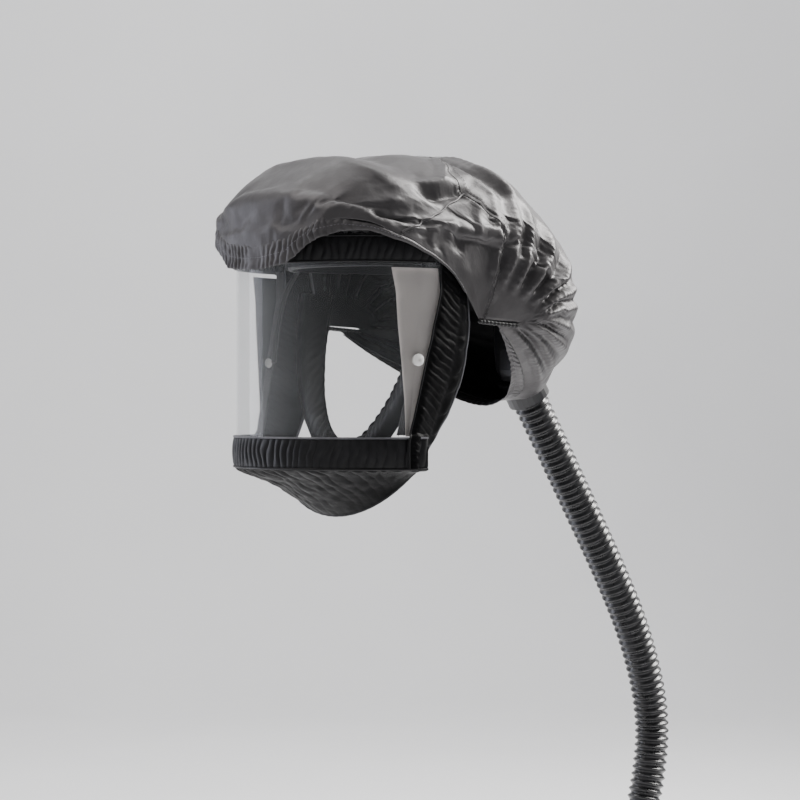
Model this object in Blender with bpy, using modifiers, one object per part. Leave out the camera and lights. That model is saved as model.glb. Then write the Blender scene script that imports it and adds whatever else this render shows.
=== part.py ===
"""Powered air respirator: a loose-fitting hood with a curved visor on a headband, a breathing hose, and a
belt-mounted blower with two filters and a battery.

Frame: metres, +Z up, the wearer faces -Y and the wearer's left is +X. The origin is the centre of the
headband, at brow height.
"""

import math

import bmesh
import bpy
from mathutils import Matrix, Vector

# ---------------------------------------------------------------- driving dimensions, in metres
GAP = 0.0003  # clearance between neighbouring pieces

LENS_RADIUS = 0.109  # outer radius of the half-round visor
LENS_CENTRE_Y = -0.037
LENS_THICK = 0.001
LENS_TOP = 0.006
LENS_BOTTOM = -0.161
SIDE_SPLIT_Z = -0.037  # above this height the visor's rear edge is upright
REAR_ANGLE_TOP = math.radians(89)  # visor's rear edge, measured from straight ahead
REAR_ANGLE_BOTTOM = math.radians(73)
STUD_ANGLE = math.radians(76)
STUD_Z = -0.094
SHADE_RADIUS = 0.1068

SURROUND_RADIUS = 0.1138  # the black panel under the brim meets the visor's top here
SURROUND_Z = 0.0100
BAND_RADIUS = 0.1104  # mid-surface of the fabric bands that hold the visor
BAND_THICK = 0.0016
BOTTOM_BAND = (-0.1583, -0.184)

EAR = Vector((0.109, 0.005, -0.062))  # every arch of the hood starts and ends at the ears
ARCH_START = math.radians(3)
HEM_TURN = math.radians(7)
FABRIC = 0.0012
# hood arches: (angle from straight ahead, over the top, to the back; height of the arch above the ear line)
HOOD_ARCHES = [
    (17, 0.1665), (26, 0.1755), (37, 0.1854), (51, 0.1785), (67, 0.1545), (88, 0.148), (111, 0.151),
    (130, 0.1475), (148, 0.1495), (163, 0.1515), (174, 0.163), (188, 0.175), (200, 0.168), (214, 0.126),
]
# lines on the hood: (turn from the nearer ear in degrees, arch angle); the hem is low in front and rises at the sides
BRIM_LINE = [(0, 52.5), (12.5, 51.5), (24, 43.5), (35.5, 38.5), (45.5, 36.5), (58, 32.5), (70, 27), (80, 21.5), (90, 20)]
SEAM_LINE = [(0, 104), (20, 104), (29, 102), (36.5, 90.5), (44.5, 83), (56, 82.5), (78.5, 91), (90, 93)]
NAPE_START = 209.0
EAR_GATHER = 0.040  # length of the gathered line behind each ear

BAND_HALF_WIDTH = 0.078  # headband, side to side
BAND_CENTRE_Y = -0.030
BAND_FRONT = 0.068
REAR_CENTRE_Y = 0.022
REAR_HALF_WIDTH = 0.0802
CROWN_HEIGHT = 0.0730

HOSE_RADIUS = 0.0165
HOSE_DIRECTION = Vector((0, 0.53, -0.848)).normalized()  # where the hose leaves the nape
COLLAR_POINT = Vector((0, 0.1610, -0.1250))
HOSE_ROUTE = [  # (Y, Z) in the plane X = 0
    (0.1616, -0.1260), (0.2120, -0.2040), (0.2650, -0.2880), (0.2975, -0.3470), (0.3180, -0.4020),
    (0.3250, -0.4450), (0.3215, -0.4830), (0.3130, -0.5180), (0.3045, -0.5480), (0.3004, -0.5680),
    (0.3000, -0.5800),
]
HOSE_STEPS = 5  # tube points between two route points

BLOWER = Vector((0, 0.300, -0.675))
HOUSING = Vector((0.130, 0.070, 0.105))
HOUSING_CORNER = 0.016
WALL = 0.0025
ROTOR_Z = -0.672
FILTER_RADIUS = 0.033
FILTER_LENGTH = 0.038
BATTERY = Vector((0.104, 0.054, 0.036))
BATTERY_TOP = -0.7279

BELT_CENTRE = Vector((0, 0.130, -0.660))
BELT_HALF = (0.160, 0.120)
BELT_WIDTH = 0.040
BELT_THICK = 0.0025
PAD = Vector((0.150, 0.011, 0.110))

BLACK = (0.02, 0.02, 0.022)
CHARCOAL = (0.10, 0.095, 0.10)
GREY = (0.55, 0.56, 0.55)
WHITE = (0.85, 0.85, 0.83)


# ---------------------------------------------------------------- scene and helpers
def clear_scene():
    for obj in list(bpy.data.objects):
        bpy.data.objects.remove(obj)


def collection(name):
    made = bpy.data.collections.new(name)
    bpy.context.scene.collection.children.link(made)
    return made


def material(name, colour, roughness=0.5, metallic=0.0, alpha=1.0):
    found = bpy.data.materials.get(name)
    if found:
        return found
    made = bpy.data.materials.new(name)
    made.use_nodes = True
    shader = made.node_tree.nodes["Principled BSDF"]
    shader.inputs["Base Color"].default_value = (*colour, 1)
    shader.inputs["Roughness"].default_value = roughness
    shader.inputs["Metallic"].default_value = metallic
    shader.inputs["Alpha"].default_value = alpha
    return made


def nylon():
    return material("coated_nylon", CHARCOAL, 0.4)


def elastic():
    return material("black_elastic", BLACK, 0.7)


def plastic():
    return material("black_plastic", BLACK, 0.4)


def add(name, mesh, look, into="powered_air_respirator"):
    obj = bpy.data.objects.new(name, mesh)
    bpy.data.collections[into].objects.link(obj)
    if look:
        mesh.materials.append(look)
    return obj


def baked(obj):
    """Applies the object's modifiers, so that it can be cut or joined."""
    graph = bpy.context.evaluated_depsgraph_get()
    mesh = bpy.data.meshes.new_from_object(obj.evaluated_get(graph))
    if obj.type == "MESH":
        obj.modifiers.clear()
        obj.data = mesh
        return obj
    made = bpy.data.objects.new(obj.name + "_mesh", mesh)
    made.matrix_world = obj.matrix_world
    for home in obj.users_collection:
        home.objects.link(made)
    name = obj.name
    bpy.data.objects.remove(obj)
    made.name = name
    return made


def smooth(obj, angle=40):
    obj.data.shade_smooth()
    obj.data.set_sharp_from_angle(angle=math.radians(angle))
    return obj


def bevel(obj, width, segments=2, angle=40):
    made = obj.modifiers.new("Bevel", "BEVEL")
    made.width = width
    made.segments = segments
    made.limit_method = "ANGLE"
    made.angle_limit = math.radians(angle)
    return obj


def helper(obj):
    """Marks an object as a cutter or a filler that isn't a sub-part."""
    for home in list(obj.users_collection):
        home.objects.unlink(obj)
    bpy.data.collections["cutters"].objects.link(obj)
    obj.hide_render = True
    obj.display_type = "WIRE"
    return obj


def combine(obj, other, operation="DIFFERENCE"):
    made = obj.modifiers.new(operation.title(), "BOOLEAN")
    made.operation = operation
    made.solver = "EXACT"
    made.object = helper(other)
    return obj


def box(name, size, centre, look=None, edge=0.0, segments=2):
    bpy.ops.mesh.primitive_cube_add(size=1)
    obj = bpy.context.active_object
    for home in list(obj.users_collection):
        home.objects.unlink(obj)
    bpy.data.collections["powered_air_respirator"].objects.link(obj)
    obj.name = name
    obj.data.name = name
    obj.data.transform(Matrix.Diagonal((*size, 1)))
    obj.location = centre
    if look:
        obj.data.materials.append(look)
    if edge:
        bevel(obj, edge, segments)
    return obj


def aim(obj, centre, axis):
    """Places a piece made around +Z with its own +Z along the axis."""
    obj.location = centre
    obj.rotation_mode = "QUATERNION"
    obj.rotation_quaternion = Vector((0, 0, 1)).rotation_difference(Vector(axis))
    return obj


def turned(name, profile, centre, axis=(0, 0, 1), look=None, steps=24, ring=False):
    """A turned piece. The profile is (radius, height) and runs down its outer side; a ring's closes on itself."""
    mesh = bpy.data.meshes.new(name)
    count = len(profile)
    edges = [(i, i + 1) for i in range(count - 1)] + ([(count - 1, 0)] if ring else [])
    mesh.from_pydata([(r, 0, z) for r, z in profile], edges, [])
    obj = add(name, mesh, look)
    screw = obj.modifiers.new("Screw", "SCREW")
    screw.steps = screw.render_steps = steps
    screw.use_merge_vertices = True
    screw.merge_threshold = 0.00005
    screw.use_smooth_shade = True
    return aim(obj, centre, axis)


def disc(name, radius, low, high, centre, axis=(0, 0, 1), look=None, steps=24):
    return turned(name, [(0, high), (radius, high), (radius, low), (0, low)], centre, axis, look, steps)


def ring(name, outer, inner, low, high, centre, axis=(0, 0, 1), look=None, steps=24):
    profile = [(outer, high), (outer, low), (inner, low), (inner, high)]
    return turned(name, profile, centre, axis, look, steps, ring=True)


def tube(name, points, radius, look, resolution=3):
    curve = bpy.data.curves.new(name, "CURVE")
    curve.dimensions = "3D"
    curve.bevel_depth = radius
    curve.bevel_resolution = resolution
    curve.use_fill_caps = True
    spline = curve.splines.new("POLY")
    spline.points.add(len(points) - 1)
    for point, place in zip(spline.points, points):
        point.co = (*place, 1)
    return add(name, curve, look)


def sheet(name, rows, thick, look, closed=False):
    """A skin through rows of points, all rows with the same count, made solid on both sides of itself."""
    across = len(rows[0])
    mesh = bpy.data.meshes.new(name)
    faces = []
    for r in range(len(rows) - 1):
        for c in range(across if closed else across - 1):
            d = (c + 1) % across
            faces.append((r * across + c, r * across + d, (r + 1) * across + d, (r + 1) * across + c))
    mesh.from_pydata([tuple(p) for row in rows for p in row], [], faces)
    obj = add(name, mesh, look)
    solid = obj.modifiers.new("Solidify", "SOLIDIFY")
    solid.thickness = thick
    solid.offset = 0
    solid.use_even_offset = True
    return smooth(obj, 60)


def spread(low, high, count):
    return [low + (high - low) * i / (count - 1) for i in range(count)]


def smoothstep(low, high, value):
    x = min(max((value - low) / (high - low), 0), 1)
    return x * x * (3 - 2 * x)


def through(points, steps):
    """Points along a smooth curve through the given ones."""
    places = [Vector(p) for p in points]
    ends = [2 * places[0] - places[1], *places, 2 * places[-1] - places[-2]]
    made = []
    for a, b, c, d in zip(ends, ends[1:], ends[2:], ends[3:]):
        for i in range(steps):
            t = i / steps
            made.append(0.5 * (2 * b + (c - a) * t + (2 * a - 5 * b + 4 * c - d) * t**2
                               + (3 * b - a - 3 * c + d) * t**3))
    return made + [places[-1]]


# ---------------------------------------------------------------- hood
def arch_height(angle):
    table = HOOD_ARCHES
    for (a0, r0), (a1, r1) in zip(table, table[1:]):
        if angle <= a1:
            return r0 + (r1 - r0) * smoothstep(a0, a1, angle)
    return table[-1][1]


def line_at(line, turn):
    degrees = math.degrees(min(turn, math.pi - turn))
    for (t0, a0), (t1, a1) in zip(line, line[1:]):
        if degrees <= t1:
            return a0 + (a1 - a0) * (degrees - t0) / (t1 - t0)
    return line[-1][1]


def brim_angle(turn):
    """The angle of the brim's hem."""
    return line_at(BRIM_LINE, turn)


def seam_angle(turn):
    """The angle of the seam between the crown and rear panels."""
    return line_at(SEAM_LINE, turn)


def nape_angle(_turn):
    return NAPE_START


def hood_point(angle, turn):
    """A point on the hood: the arch's angle in degrees, and the turn along the arch from the left ear over."""
    low = smoothstep(150, 208, angle)  # the pouch narrows towards the nape
    back = EAR_GATHER * smoothstep(95, 165, angle) * (1 - 0.6 * smoothstep(175, 205, angle))
    side = math.cos(turn)
    width = EAR.x + 0.018 * math.sin(2 * min(turn, math.pi - turn)) * (1 - 1.3 * low)
    x = width * math.copysign(abs(side) ** (0.6 + 0.6 * low), side)
    out = arch_height(angle) * math.sin(turn) ** (0.8 + 0.45 * low)
    around = math.radians(angle)
    back *= 1 - math.sin(turn)
    return Vector((x, EAR.y + back - out * math.cos(around), EAR.z + out * math.sin(around)))


def hood_rows(start, end, rows, first_turn=ARCH_START, columns=25):
    """Rows of points between two lines on the hood. Each line is (its angle's function, an offset in degrees)."""
    turns = spread(first_turn, math.pi - first_turn, columns)
    made = []
    for share in spread(0, 1, rows):
        row = []
        for turn in turns:
            low = start[0](turn) + start[1]
            high = end[0](turn) + end[1]
            row.append(hood_point(low + (high - low) * share, turn))
        made.append(row)
    return made


def make_hood():
    sheet("crown_panel", hood_rows((brim_angle, 0.4), (seam_angle, -0.3), 12), FABRIC, nylon())
    rear = sheet("rear_panel", hood_rows((seam_angle, 0.3), (nape_angle, -0.4), 13), FABRIC, nylon())
    baked(rear)
    hole = disc("inlet_hole", 0.0204, -0.03, 0.03, COLLAR_POINT, HOSE_DIRECTION)
    combine(rear, baked(hole))
    brim = hood_rows((brim_angle, -4.5), (brim_angle, -1.6), 2, HEM_TURN)
    sheet("brim_hem", brim, 0.003, elastic())
    nape = hood_rows((nape_angle, 1.6), (nape_angle, 5), 2, HEM_TURN)
    sheet("nape_hem", nape, 0.003, elastic())
    make_surround()


def make_surround():
    """The black panel under the brim, from the hem in to the band above the visor."""
    turns = spread(math.radians(19), math.pi - math.radians(19), 25)
    rows = [[], [], []]
    for turn in turns:
        around = (math.pi / 2 - turn) * 1.12
        hem = hood_point(brim_angle(turn) - 1.5, turn)
        inward = Vector((hem.x * 0.5, EAR.y, EAR.z)) - hem
        rows[0].append(hem + inward.normalized() * 0.0045)
        rows[1].append(around_visor(SURROUND_RADIUS, around, SURROUND_Z))
        rows[2].append(around_visor(SURROUND_RADIUS - 0.007, around, SURROUND_Z + 0.004))
    sheet("visor_surround", rows, FABRIC, elastic())


# ---------------------------------------------------------------- visor and the fabric that holds it
def around_visor(radius, angle, z):
    return Vector((radius * math.sin(angle), LENS_CENTRE_Y - radius * math.cos(angle), z))


def rear_angle(z):
    """The angle of the visor's slanted rear edge at a height."""
    share = min(max((SIDE_SPLIT_Z - z) / (SIDE_SPLIT_Z - LENS_BOTTOM), 0), 1)
    return REAR_ANGLE_TOP + (REAR_ANGLE_BOTTOM - REAR_ANGLE_TOP) * share


def visor_rows(radius, heights, columns, margin=0.0):
    return [
        [around_visor(radius, a, z) for a in spread(-rear_angle(z) + margin, rear_angle(z) - margin, columns)]
        for z in heights
    ]


def stud_cutter(name, side):
    axis = Vector((side * math.sin(STUD_ANGLE), -math.cos(STUD_ANGLE), 0))
    centre = Vector((0, LENS_CENTRE_Y, STUD_Z)) + axis * LENS_RADIUS
    return baked(disc(name, 0.0025, -0.006, 0.006, centre, axis, steps=12))


def make_visor():
    clear = material("clear_visor", (0.9, 0.92, 0.93), 0.05, alpha=0.3)
    heights = [LENS_TOP, SIDE_SPLIT_Z, -0.066, STUD_Z, -0.127, LENS_BOTTOM]
    lens = sheet("visor_lens", visor_rows(LENS_RADIUS - LENS_THICK / 2, heights, 33), LENS_THICK, clear)
    baked(lens)
    for side in (1, -1):
        combine(lens, stud_cutter(f"lens_stud_hole_{side}", side))
    top = [[around_visor(BAND_RADIUS, a, z) for a in spread(-1.46, 1.46, 29)] for z in (0.0075, -0.0130)]
    sheet("visor_top_band", top, BAND_THICK, elastic())
    low = [[around_visor(BAND_RADIUS, a, z) for a in spread(-BAND_END, BAND_END, 27)] for z in BOTTOM_BAND]
    sheet("visor_bottom_band", low, BAND_THICK, elastic())
    for side, sign in (("left", 1), ("right", -1)):
        make_side_band(side, sign)
        make_side_shade(side, sign)
        make_stud(side, sign)


# rear edge of the side band: (height, side, depth)
SIDE_BAND_REAR = [
    (0.006, 0.1010, -0.0190), (-0.030, 0.1035, -0.0100), (-0.062, 0.1030, -0.0050),
    (-0.090, 0.1020, -0.0080), (-0.115, 0.1000, -0.0140), (-0.138, 0.0970, -0.0240), (-0.1575, 0.0940, -0.0350),
    (-0.1680, 0.0920, -0.0415), (-0.1760, 0.0905, -0.0470), (-0.1835, 0.0890, -0.0520),
]
BAND_END = 1.40  # the bottom band's ends, from straight ahead, in radians


def make_side_band(side, sign):
    rows = []
    for z, x, y in SIDE_BAND_REAR:
        below = z < BOTTOM_BAND[0] + 0.002  # down here the band starts behind the bottom band's end
        front = around_visor(BAND_RADIUS, BAND_END + 0.012 if below else rear_angle(z) - 0.035, z)
        edge = around_visor(BAND_RADIUS, BAND_END + 0.04 if below else rear_angle(z) + 0.03, z)
        rear = Vector((x, y, z))
        middle = (edge + rear) / 2 + Vector((0.002, 0, 0))
        rows.append([Vector((sign * p.x, p.y, p.z)) for p in (front, edge, middle, rear)])
    sheet(f"visor_side_band_{side}", rows, BAND_THICK, elastic())


def make_side_shade(side, sign):
    """An opaque wedge inside the visor's rear edge, wide at the top and narrow at the bottom."""
    rows = []
    for z, front, rear in ((-0.018, 64, 87), (-0.037, 66, 88.3), (-0.066, 67, 84.4), (STUD_Z, 68.5, 81),
                           (-0.127, 70, 77), (-0.157, 70.5, 73.2)):
        angles = spread(math.radians(front), math.radians(rear), 5)
        rows.append([around_visor(SHADE_RADIUS, sign * a, z) for a in angles])
    shade = sheet(f"side_shade_{side}", rows, 0.0008, material("grey_shade", GREY, 0.5))
    baked(shade)
    combine(shade, stud_cutter(f"shade_stud_hole_{side}", sign))


def make_stud(side, sign):
    """A press stud through the visor and the shade, with a head outside and a cap inside."""
    axis = Vector((sign * math.sin(STUD_ANGLE), -math.cos(STUD_ANGLE), 0))
    centre = Vector((0, LENS_CENTRE_Y, STUD_Z)) + axis * LENS_RADIUS
    profile = [(0, 0.0026), (0.0035, 0.0023), (0.0050, 0.0010), (0.0050, 0.0004), (0.0021, 0.0004),
               (0.0021, -0.0031), (0.0045, -0.0031), (0.0045, -0.0050), (0, -0.0050)]
    turned(f"shade_stud_{side}", profile, centre, axis, material("white_stud", WHITE, 0.35), 16)


def make_chin_and_seal():
    rows = []
    for s in (0, 0.35, 0.7, 1):
        row = []
        for a in spread(-BAND_END, BAND_END, 23):
            top = around_visor(BAND_RADIUS, a, BOTTOM_BAND[1] - 0.0006)
            turn = a / BAND_END * math.pi / 2
            hem = Vector((0.086 * math.sin(turn), -0.050 - 0.019 * math.cos(turn),
                          -0.1875 - 0.0385 * max(math.cos(turn), 0) ** 1.5))
            sag = Vector((0, 0, 0.003 * math.sin(math.pi * s) * math.cos(turn)))
            row.append(top.lerp(hem, s) + sag)
        rows.append(row)
    sheet("chin_skirt", rows, FABRIC, elastic())
    rows = []
    for s in (0, 0.4, 0.75, 1):
        row = []
        for turn in spread(0, math.pi, 21):
            c, d = math.cos(turn), math.sin(turn)
            outer = Vector((0.0985 * c, -0.028 - 0.027 * d, -0.030 - 0.155 * d))
            inner = Vector((0.064 * c, -0.018 - 0.036 * d, -0.034 - 0.130 * d))
            row.append(outer.lerp(inner, s) + Vector((0, -0.006 * math.sin(math.pi * s), 0)))
        rows.append(row)
    sheet("face_seal", rows, FABRIC, elastic())


# ---------------------------------------------------------------- headgear
def u_path(centre_y, half_width, reach, tail_y, forward=True, columns=25):
    """A U-shaped path seen from above: a half ellipse with two straight tails."""
    sign = -1 if forward else 1
    bend = [(half_width * math.cos(t), centre_y + sign * reach * math.sin(t)) for t in spread(0, math.pi, columns)]
    return [(half_width, tail_y), *bend, (-half_width, tail_y)]


def upright_band(name, path, low, high, thick, look):
    return sheet(name, [[Vector((x, y, z)) for x, y in path] for z in (low, high)], thick, look)


def make_headgear():
    frame = plastic()
    front = u_path(BAND_CENTRE_Y, BAND_HALF_WIDTH, BAND_FRONT, 0.009)
    upright_band("front_headband", front, -0.013, 0.013, 0.002, frame)
    rear = u_path(REAR_CENTRE_Y, REAR_HALF_WIDTH, 0.080, -0.028, forward=False)
    upright_band("rear_headband", rear, -0.012, 0.010, 0.0018, frame)
    pad = [((BAND_HALF_WIDTH - 0.0037) * math.sin(a), BAND_CENTRE_Y - (BAND_FRONT - 0.0037) * math.cos(a))
           for a in spread(-1.15, 1.15, 17)]
    upright_band("brow_pad", pad, -0.015, 0.015, 0.0046, material("brow_foam", (0.04, 0.04, 0.045), 0.9))
    housing = box("ratchet_housing", (0.046, 0.0095, 0.028), (0, 0.10805, -0.001), frame, 0.003)
    baked(housing)
    combine(housing, baked(disc("ratchet_bore", 0.0045, -0.004, 0.02, (0, 0.110, -0.001), (0, 1, 0), steps=16)))
    knob = [(0, 0.0098), (0.0145, 0.0098), (0.0165, 0.008), (0.0165, 0.0004), (0.0040, 0.0004),
            (0.0040, -0.0060), (0, -0.0060)]
    turned("ratchet_knob", knob, (0, 0.1128, -0.001), (0, 1, 0), frame, 24)
    cross = [((BAND_HALF_WIDTH + 0.0002) * math.cos(t), 0.0138 + (CROWN_HEIGHT - 0.0176) * math.sin(t))
             for t in spread(0, math.pi, 21)]
    strap = material("grey_webbing", (0.12, 0.12, 0.125), 0.8)
    sheet("crown_strap_cross", [[Vector((x, y, z)) for x, z in cross] for y in (-0.019, -0.003)], 0.0016, strap)
    front_arc = [(-0.0975 * math.cos(t), 0.0140 + (CROWN_HEIGHT - 0.0140) * math.sin(t))
                 for t in spread(0, math.radians(104), 14)]
    sheet("crown_strap_front", [[Vector((x, y, z)) for y, z in front_arc] for x in (-0.009, 0.009)], 0.0014, strap)
    rear_arc = [(0.1015 * math.cos(t), 0.0110 + (CROWN_HEIGHT - 0.0074) * math.sin(t))
                for t in spread(0, math.radians(84), 12)]
    sheet("crown_strap_rear", [[Vector((x, y, z)) for y, z in rear_arc] for x in (-0.009, 0.009)], 0.0014, strap)
    for side, sign in (("left", 1), ("right", -1)):
        route = [(0.0828, -0.036, -0.002), (0.0940, -0.048, -0.030), (0.0965, -0.056, -0.062),
                 (0.0957, -0.0610, -0.094)]
        arm = through([(sign * x, y, z) for x, y, z in route], 4)
        tube(f"visor_arm_{side}", arm, 0.0023, frame, 2)


def duct_ring(centre, forward, half_width, half_depth):
    """A rounded-rectangle section across the duct, 12 points round."""
    across = Vector((1, 0, 0))
    up = across.cross(forward).normalized()
    made = []
    for i in range(12):
        a = 2 * math.pi * (i + 0.5) / 12
        x = math.copysign(abs(math.cos(a)) ** 0.6, math.cos(a))
        y = math.copysign(abs(math.sin(a)) ** 0.6, math.sin(a))
        made.append(centre + across * (half_width * x) + up * (half_depth * y))
    return made


def duct_place(angle, out):
    a = math.radians(angle)
    return Vector((0, EAR.y - out * math.cos(a), EAR.z + out * math.sin(a)))


def make_air_duct():
    start = COLLAR_POINT - HOSE_DIRECTION * 0.0262
    straight = [start, start - HOSE_DIRECTION * 0.005]
    bend = [start - HOSE_DIRECTION * 0.010, duct_place(178, 0.1400), duct_place(172, 0.1400), duct_place(166, 0.1400)]
    places = straight + through(bend, 3)
    rows = []
    for i, place in enumerate(places):
        ahead = places[min(i + 1, len(places) - 1)] - places[max(i - 1, 0)]
        if i < 3:
            ahead = -HOSE_DIRECTION
        share = smoothstep(0.0, 0.45, i / (len(places) - 1))
        rows.append(duct_ring(place, ahead.normalized(), 0.0135 + 0.0145 * share, 0.0135 - 0.0080 * share))
    sheet("air_duct", rows, 0.0012, plastic(), closed=True)
    end = places[-1]
    forward = (places[-1] - places[-2]).normalized()
    block = box("air_diffuser", (0.054, 0.018, 0.009), end + forward * 0.0103,
                material("diffuser_foam", (0.06, 0.06, 0.065), 0.95), 0.002)
    block.rotation_mode = "QUATERNION"
    block.rotation_quaternion = Vector((0, 1, 0)).rotation_difference(forward)


# ---------------------------------------------------------------- hose and its ends
def make_hose():
    rubber = material("black_rubber", BLACK, 0.45)
    beaded = [(0.0200, 0.0010), (0.0200, -0.0210), (0.0215, -0.0220), (0.0215, -0.0250), (0.0173, -0.0250),
              (0.0173, 0.0010)]
    turned("hose_inlet_collar", beaded, COLLAR_POINT, HOSE_DIRECTION, plastic(), ring=True)
    ring("hose_upper_cuff", 0.0170, 0.0130, -0.0245, 0.0004, COLLAR_POINT, HOSE_DIRECTION, rubber)
    route = through([(0, y, z) for y, z in HOSE_ROUTE], HOSE_STEPS)
    tube("breathing_hose", route, HOSE_RADIUS, rubber, 3)
    top = HOSE_ROUTE[-1][1] - GAP
    centre = (0, BLOWER.y, 0)
    profile = [(0.0185, top), (0.0185, -0.6160), (0.0153, -0.6160), (0.0153, -0.5950), (0.0130, -0.5950),
               (0.0130, top)]
    turned("hose_lower_cuff", profile, centre, (0, 0, 1), rubber, ring=True)
    lock = ring("hose_lock_ring", 0.0225, 0.0189, -0.6180, -0.6060, centre, (0, 0, 1), plastic())
    baked(lock)
    for sign in (1, -1):
        lug = box(f"lock_lug_{sign}", (0.008, 0.006, 0.010), (sign * 0.0245, BLOWER.y, -0.6120))
        combine(lock, lug, "UNION")


# ---------------------------------------------------------------- blower
def slab(name, size, corner, centre, look=None):
    """A block with upright rounded corners in its X-Z outline, made from a flat outline along Y."""
    curve = bpy.data.curves.new(name, "CURVE")
    curve.dimensions = "2D"
    curve.fill_mode = "BOTH"
    curve.extrude = size.y / 2
    spline = curve.splines.new("POLY")
    points = []
    for turn, sx, sz in ((0, 1, 1), (90, -1, 1), (180, -1, -1), (270, 1, -1)):
        for a in spread(turn, turn + 90, 6):
            a = math.radians(a)
            points.append((sx * (size.x / 2 - corner) + corner * math.cos(a),
                           sz * (size.z / 2 - corner) + corner * math.sin(a)))
    spline.points.add(len(points) - 1)
    spline.use_cyclic_u = True
    for point, (x, z) in zip(spline.points, points):
        point.co = (x, z, 0, 1)
    obj = add(name, curve, look)
    obj.location = centre
    obj.rotation_euler = (math.pi / 2, 0, 0)
    bpy.context.view_layer.update()
    obj = baked(obj)
    weld(obj)
    return obj


def weld(obj):
    work = bmesh.new()
    work.from_mesh(obj.data)
    bmesh.ops.remove_doubles(work, verts=work.verts, dist=0.00001)
    bmesh.ops.recalc_face_normals(work, faces=work.faces)
    work.to_mesh(obj.data)
    work.free()


def housing_shell(name, low_y, high_y, wall_at_low):
    """Half of the blower's casing: a tray that is open towards the other half."""
    case = material("blower_case", (0.05, 0.052, 0.056), 0.45)
    centre = Vector((0, (low_y + high_y) / 2, BLOWER.z))
    shell = slab(name, Vector((HOUSING.x, high_y - low_y, HOUSING.z)), HOUSING_CORNER, centre, case)
    inside = Vector((HOUSING.x - 2 * WALL, 0.06, HOUSING.z - 2 * WALL))
    middle = low_y + WALL + inside.y / 2 if wall_at_low else high_y - WALL - inside.y / 2
    combine(shell, slab(f"{name}_inside", inside, HOUSING_CORNER - WALL, Vector((0, middle, BLOWER.z))))
    inlet = disc(f"{name}_inlets", 0.0180, -0.1, 0.1, (0, BLOWER.y, BLOWER.z), (1, 0, 0))
    combine(shell, baked(inlet))
    outlet = disc(f"{name}_outlet", 0.0128, 0.02, 0.08, (0, BLOWER.y, BLOWER.z))
    combine(shell, baked(outlet))
    return shell


def make_blower():
    case = plastic()
    front_y = BLOWER.y + HOUSING.y / 2
    back_y = BLOWER.y - HOUSING.y / 2
    housing_shell("blower_back_shell", back_y, BLOWER.y - GAP / 2, True)
    front = housing_shell("blower_front_shell", BLOWER.y + GAP / 2, front_y, False)
    holes = (("power_button", 0.0070, -0.022), ("speed_button", 0.0055, 0.0), ("status_lens", 0.0035, 0.019))
    for name, radius, x in holes:
        hole = disc(f"{name}_hole", radius + GAP, -0.01, 0.01, (x, front_y, BLOWER.z - 0.035), (0, 1, 0), steps=16)
        combine(front, baked(hole))
        tall = 0.0016 if "button" in name else 0.0004
        profile = [(0, tall), (radius - 0.0006, tall), (radius, tall - 0.0006), (radius, -0.0030),
                   (0, -0.0030)]
        look = {"power_button": material("green_button", (0.08, 0.35, 0.16), 0.4),
                "speed_button": material("grey_button", GREY, 0.4),
                "status_lens": material("lamp_lens", (0.7, 0.75, 0.7), 0.1)}[name]
        turned(name, profile, (x, front_y, BLOWER.z - 0.035), (0, 1, 0), look, 16)
    top = BLOWER.z + HOUSING.z / 2
    spigot = [(0.0150, top + 0.0265), (0.0150, top + 0.0027), (0.0210, top + 0.0027), (0.0210, top + GAP),
              (0.0128, top + GAP), (0.0128, top + 0.0265)]
    turned("outlet_spigot", spigot, (0, BLOWER.y, 0), (0, 0, 1), case, ring=True)
    make_fan()
    box("circuit_board", (0.060, 0.0016, 0.020), (0.004, 0.3245, BLOWER.z - 0.0365),
        material("green_board", (0.03, 0.16, 0.07), 0.5))


def make_fan():
    steel = material("steel", (0.6, 0.6, 0.6), 0.3, 1.0)
    axis = (0, 1, 0)
    can = [(0, 0.0255), (0.0135, 0.0255), (0.0150, 0.0240), (0.0150, 0), (0, 0)]
    turned("blower_motor", can, (0, 0.2680, ROTOR_Z), axis, steel, 20)
    disc("motor_shaft", 0.0015, 0, 0.0210, (0, 0.2940, ROTOR_Z), axis, steel, 14)
    grey = material("impeller_grey", (0.3, 0.3, 0.31), 0.4)
    rotor = ring("impeller", 0.0300, 0.0018, 0, 0.0015, (0, 0.3010, ROTOR_Z), axis, grey, 28)
    baked(rotor)
    combine(rotor, baked(ring("impeller_hub", 0.0055, 0.0018, 0.0008, 0.0120, (0, 0.3010, ROTOR_Z), axis)), "UNION")
    blades = 7
    for i in range(blades):
        a = 2 * math.pi * i / blades
        middle = Vector((math.cos(a), 0, math.sin(a))) * 0.0165
        blade = box(f"blade_{i}", (0.0240, 0.0100, 0.0012), Vector((0, 0.3065, ROTOR_Z)) + middle)
        blade.rotation_euler = (0, -a + 0.35, 0)
        combine(rotor, blade, "UNION")
    scroll = [(0.0380, 0), (0.0380, -0.0230), (0.0366, -0.0230), (0.0366, -0.0014), (0.0180, -0.0014),
              (0.0180, 0)]
    turned("volute", scroll, (0, 0.3225, ROTOR_Z), axis, plastic(), 28, ring=True)


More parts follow.
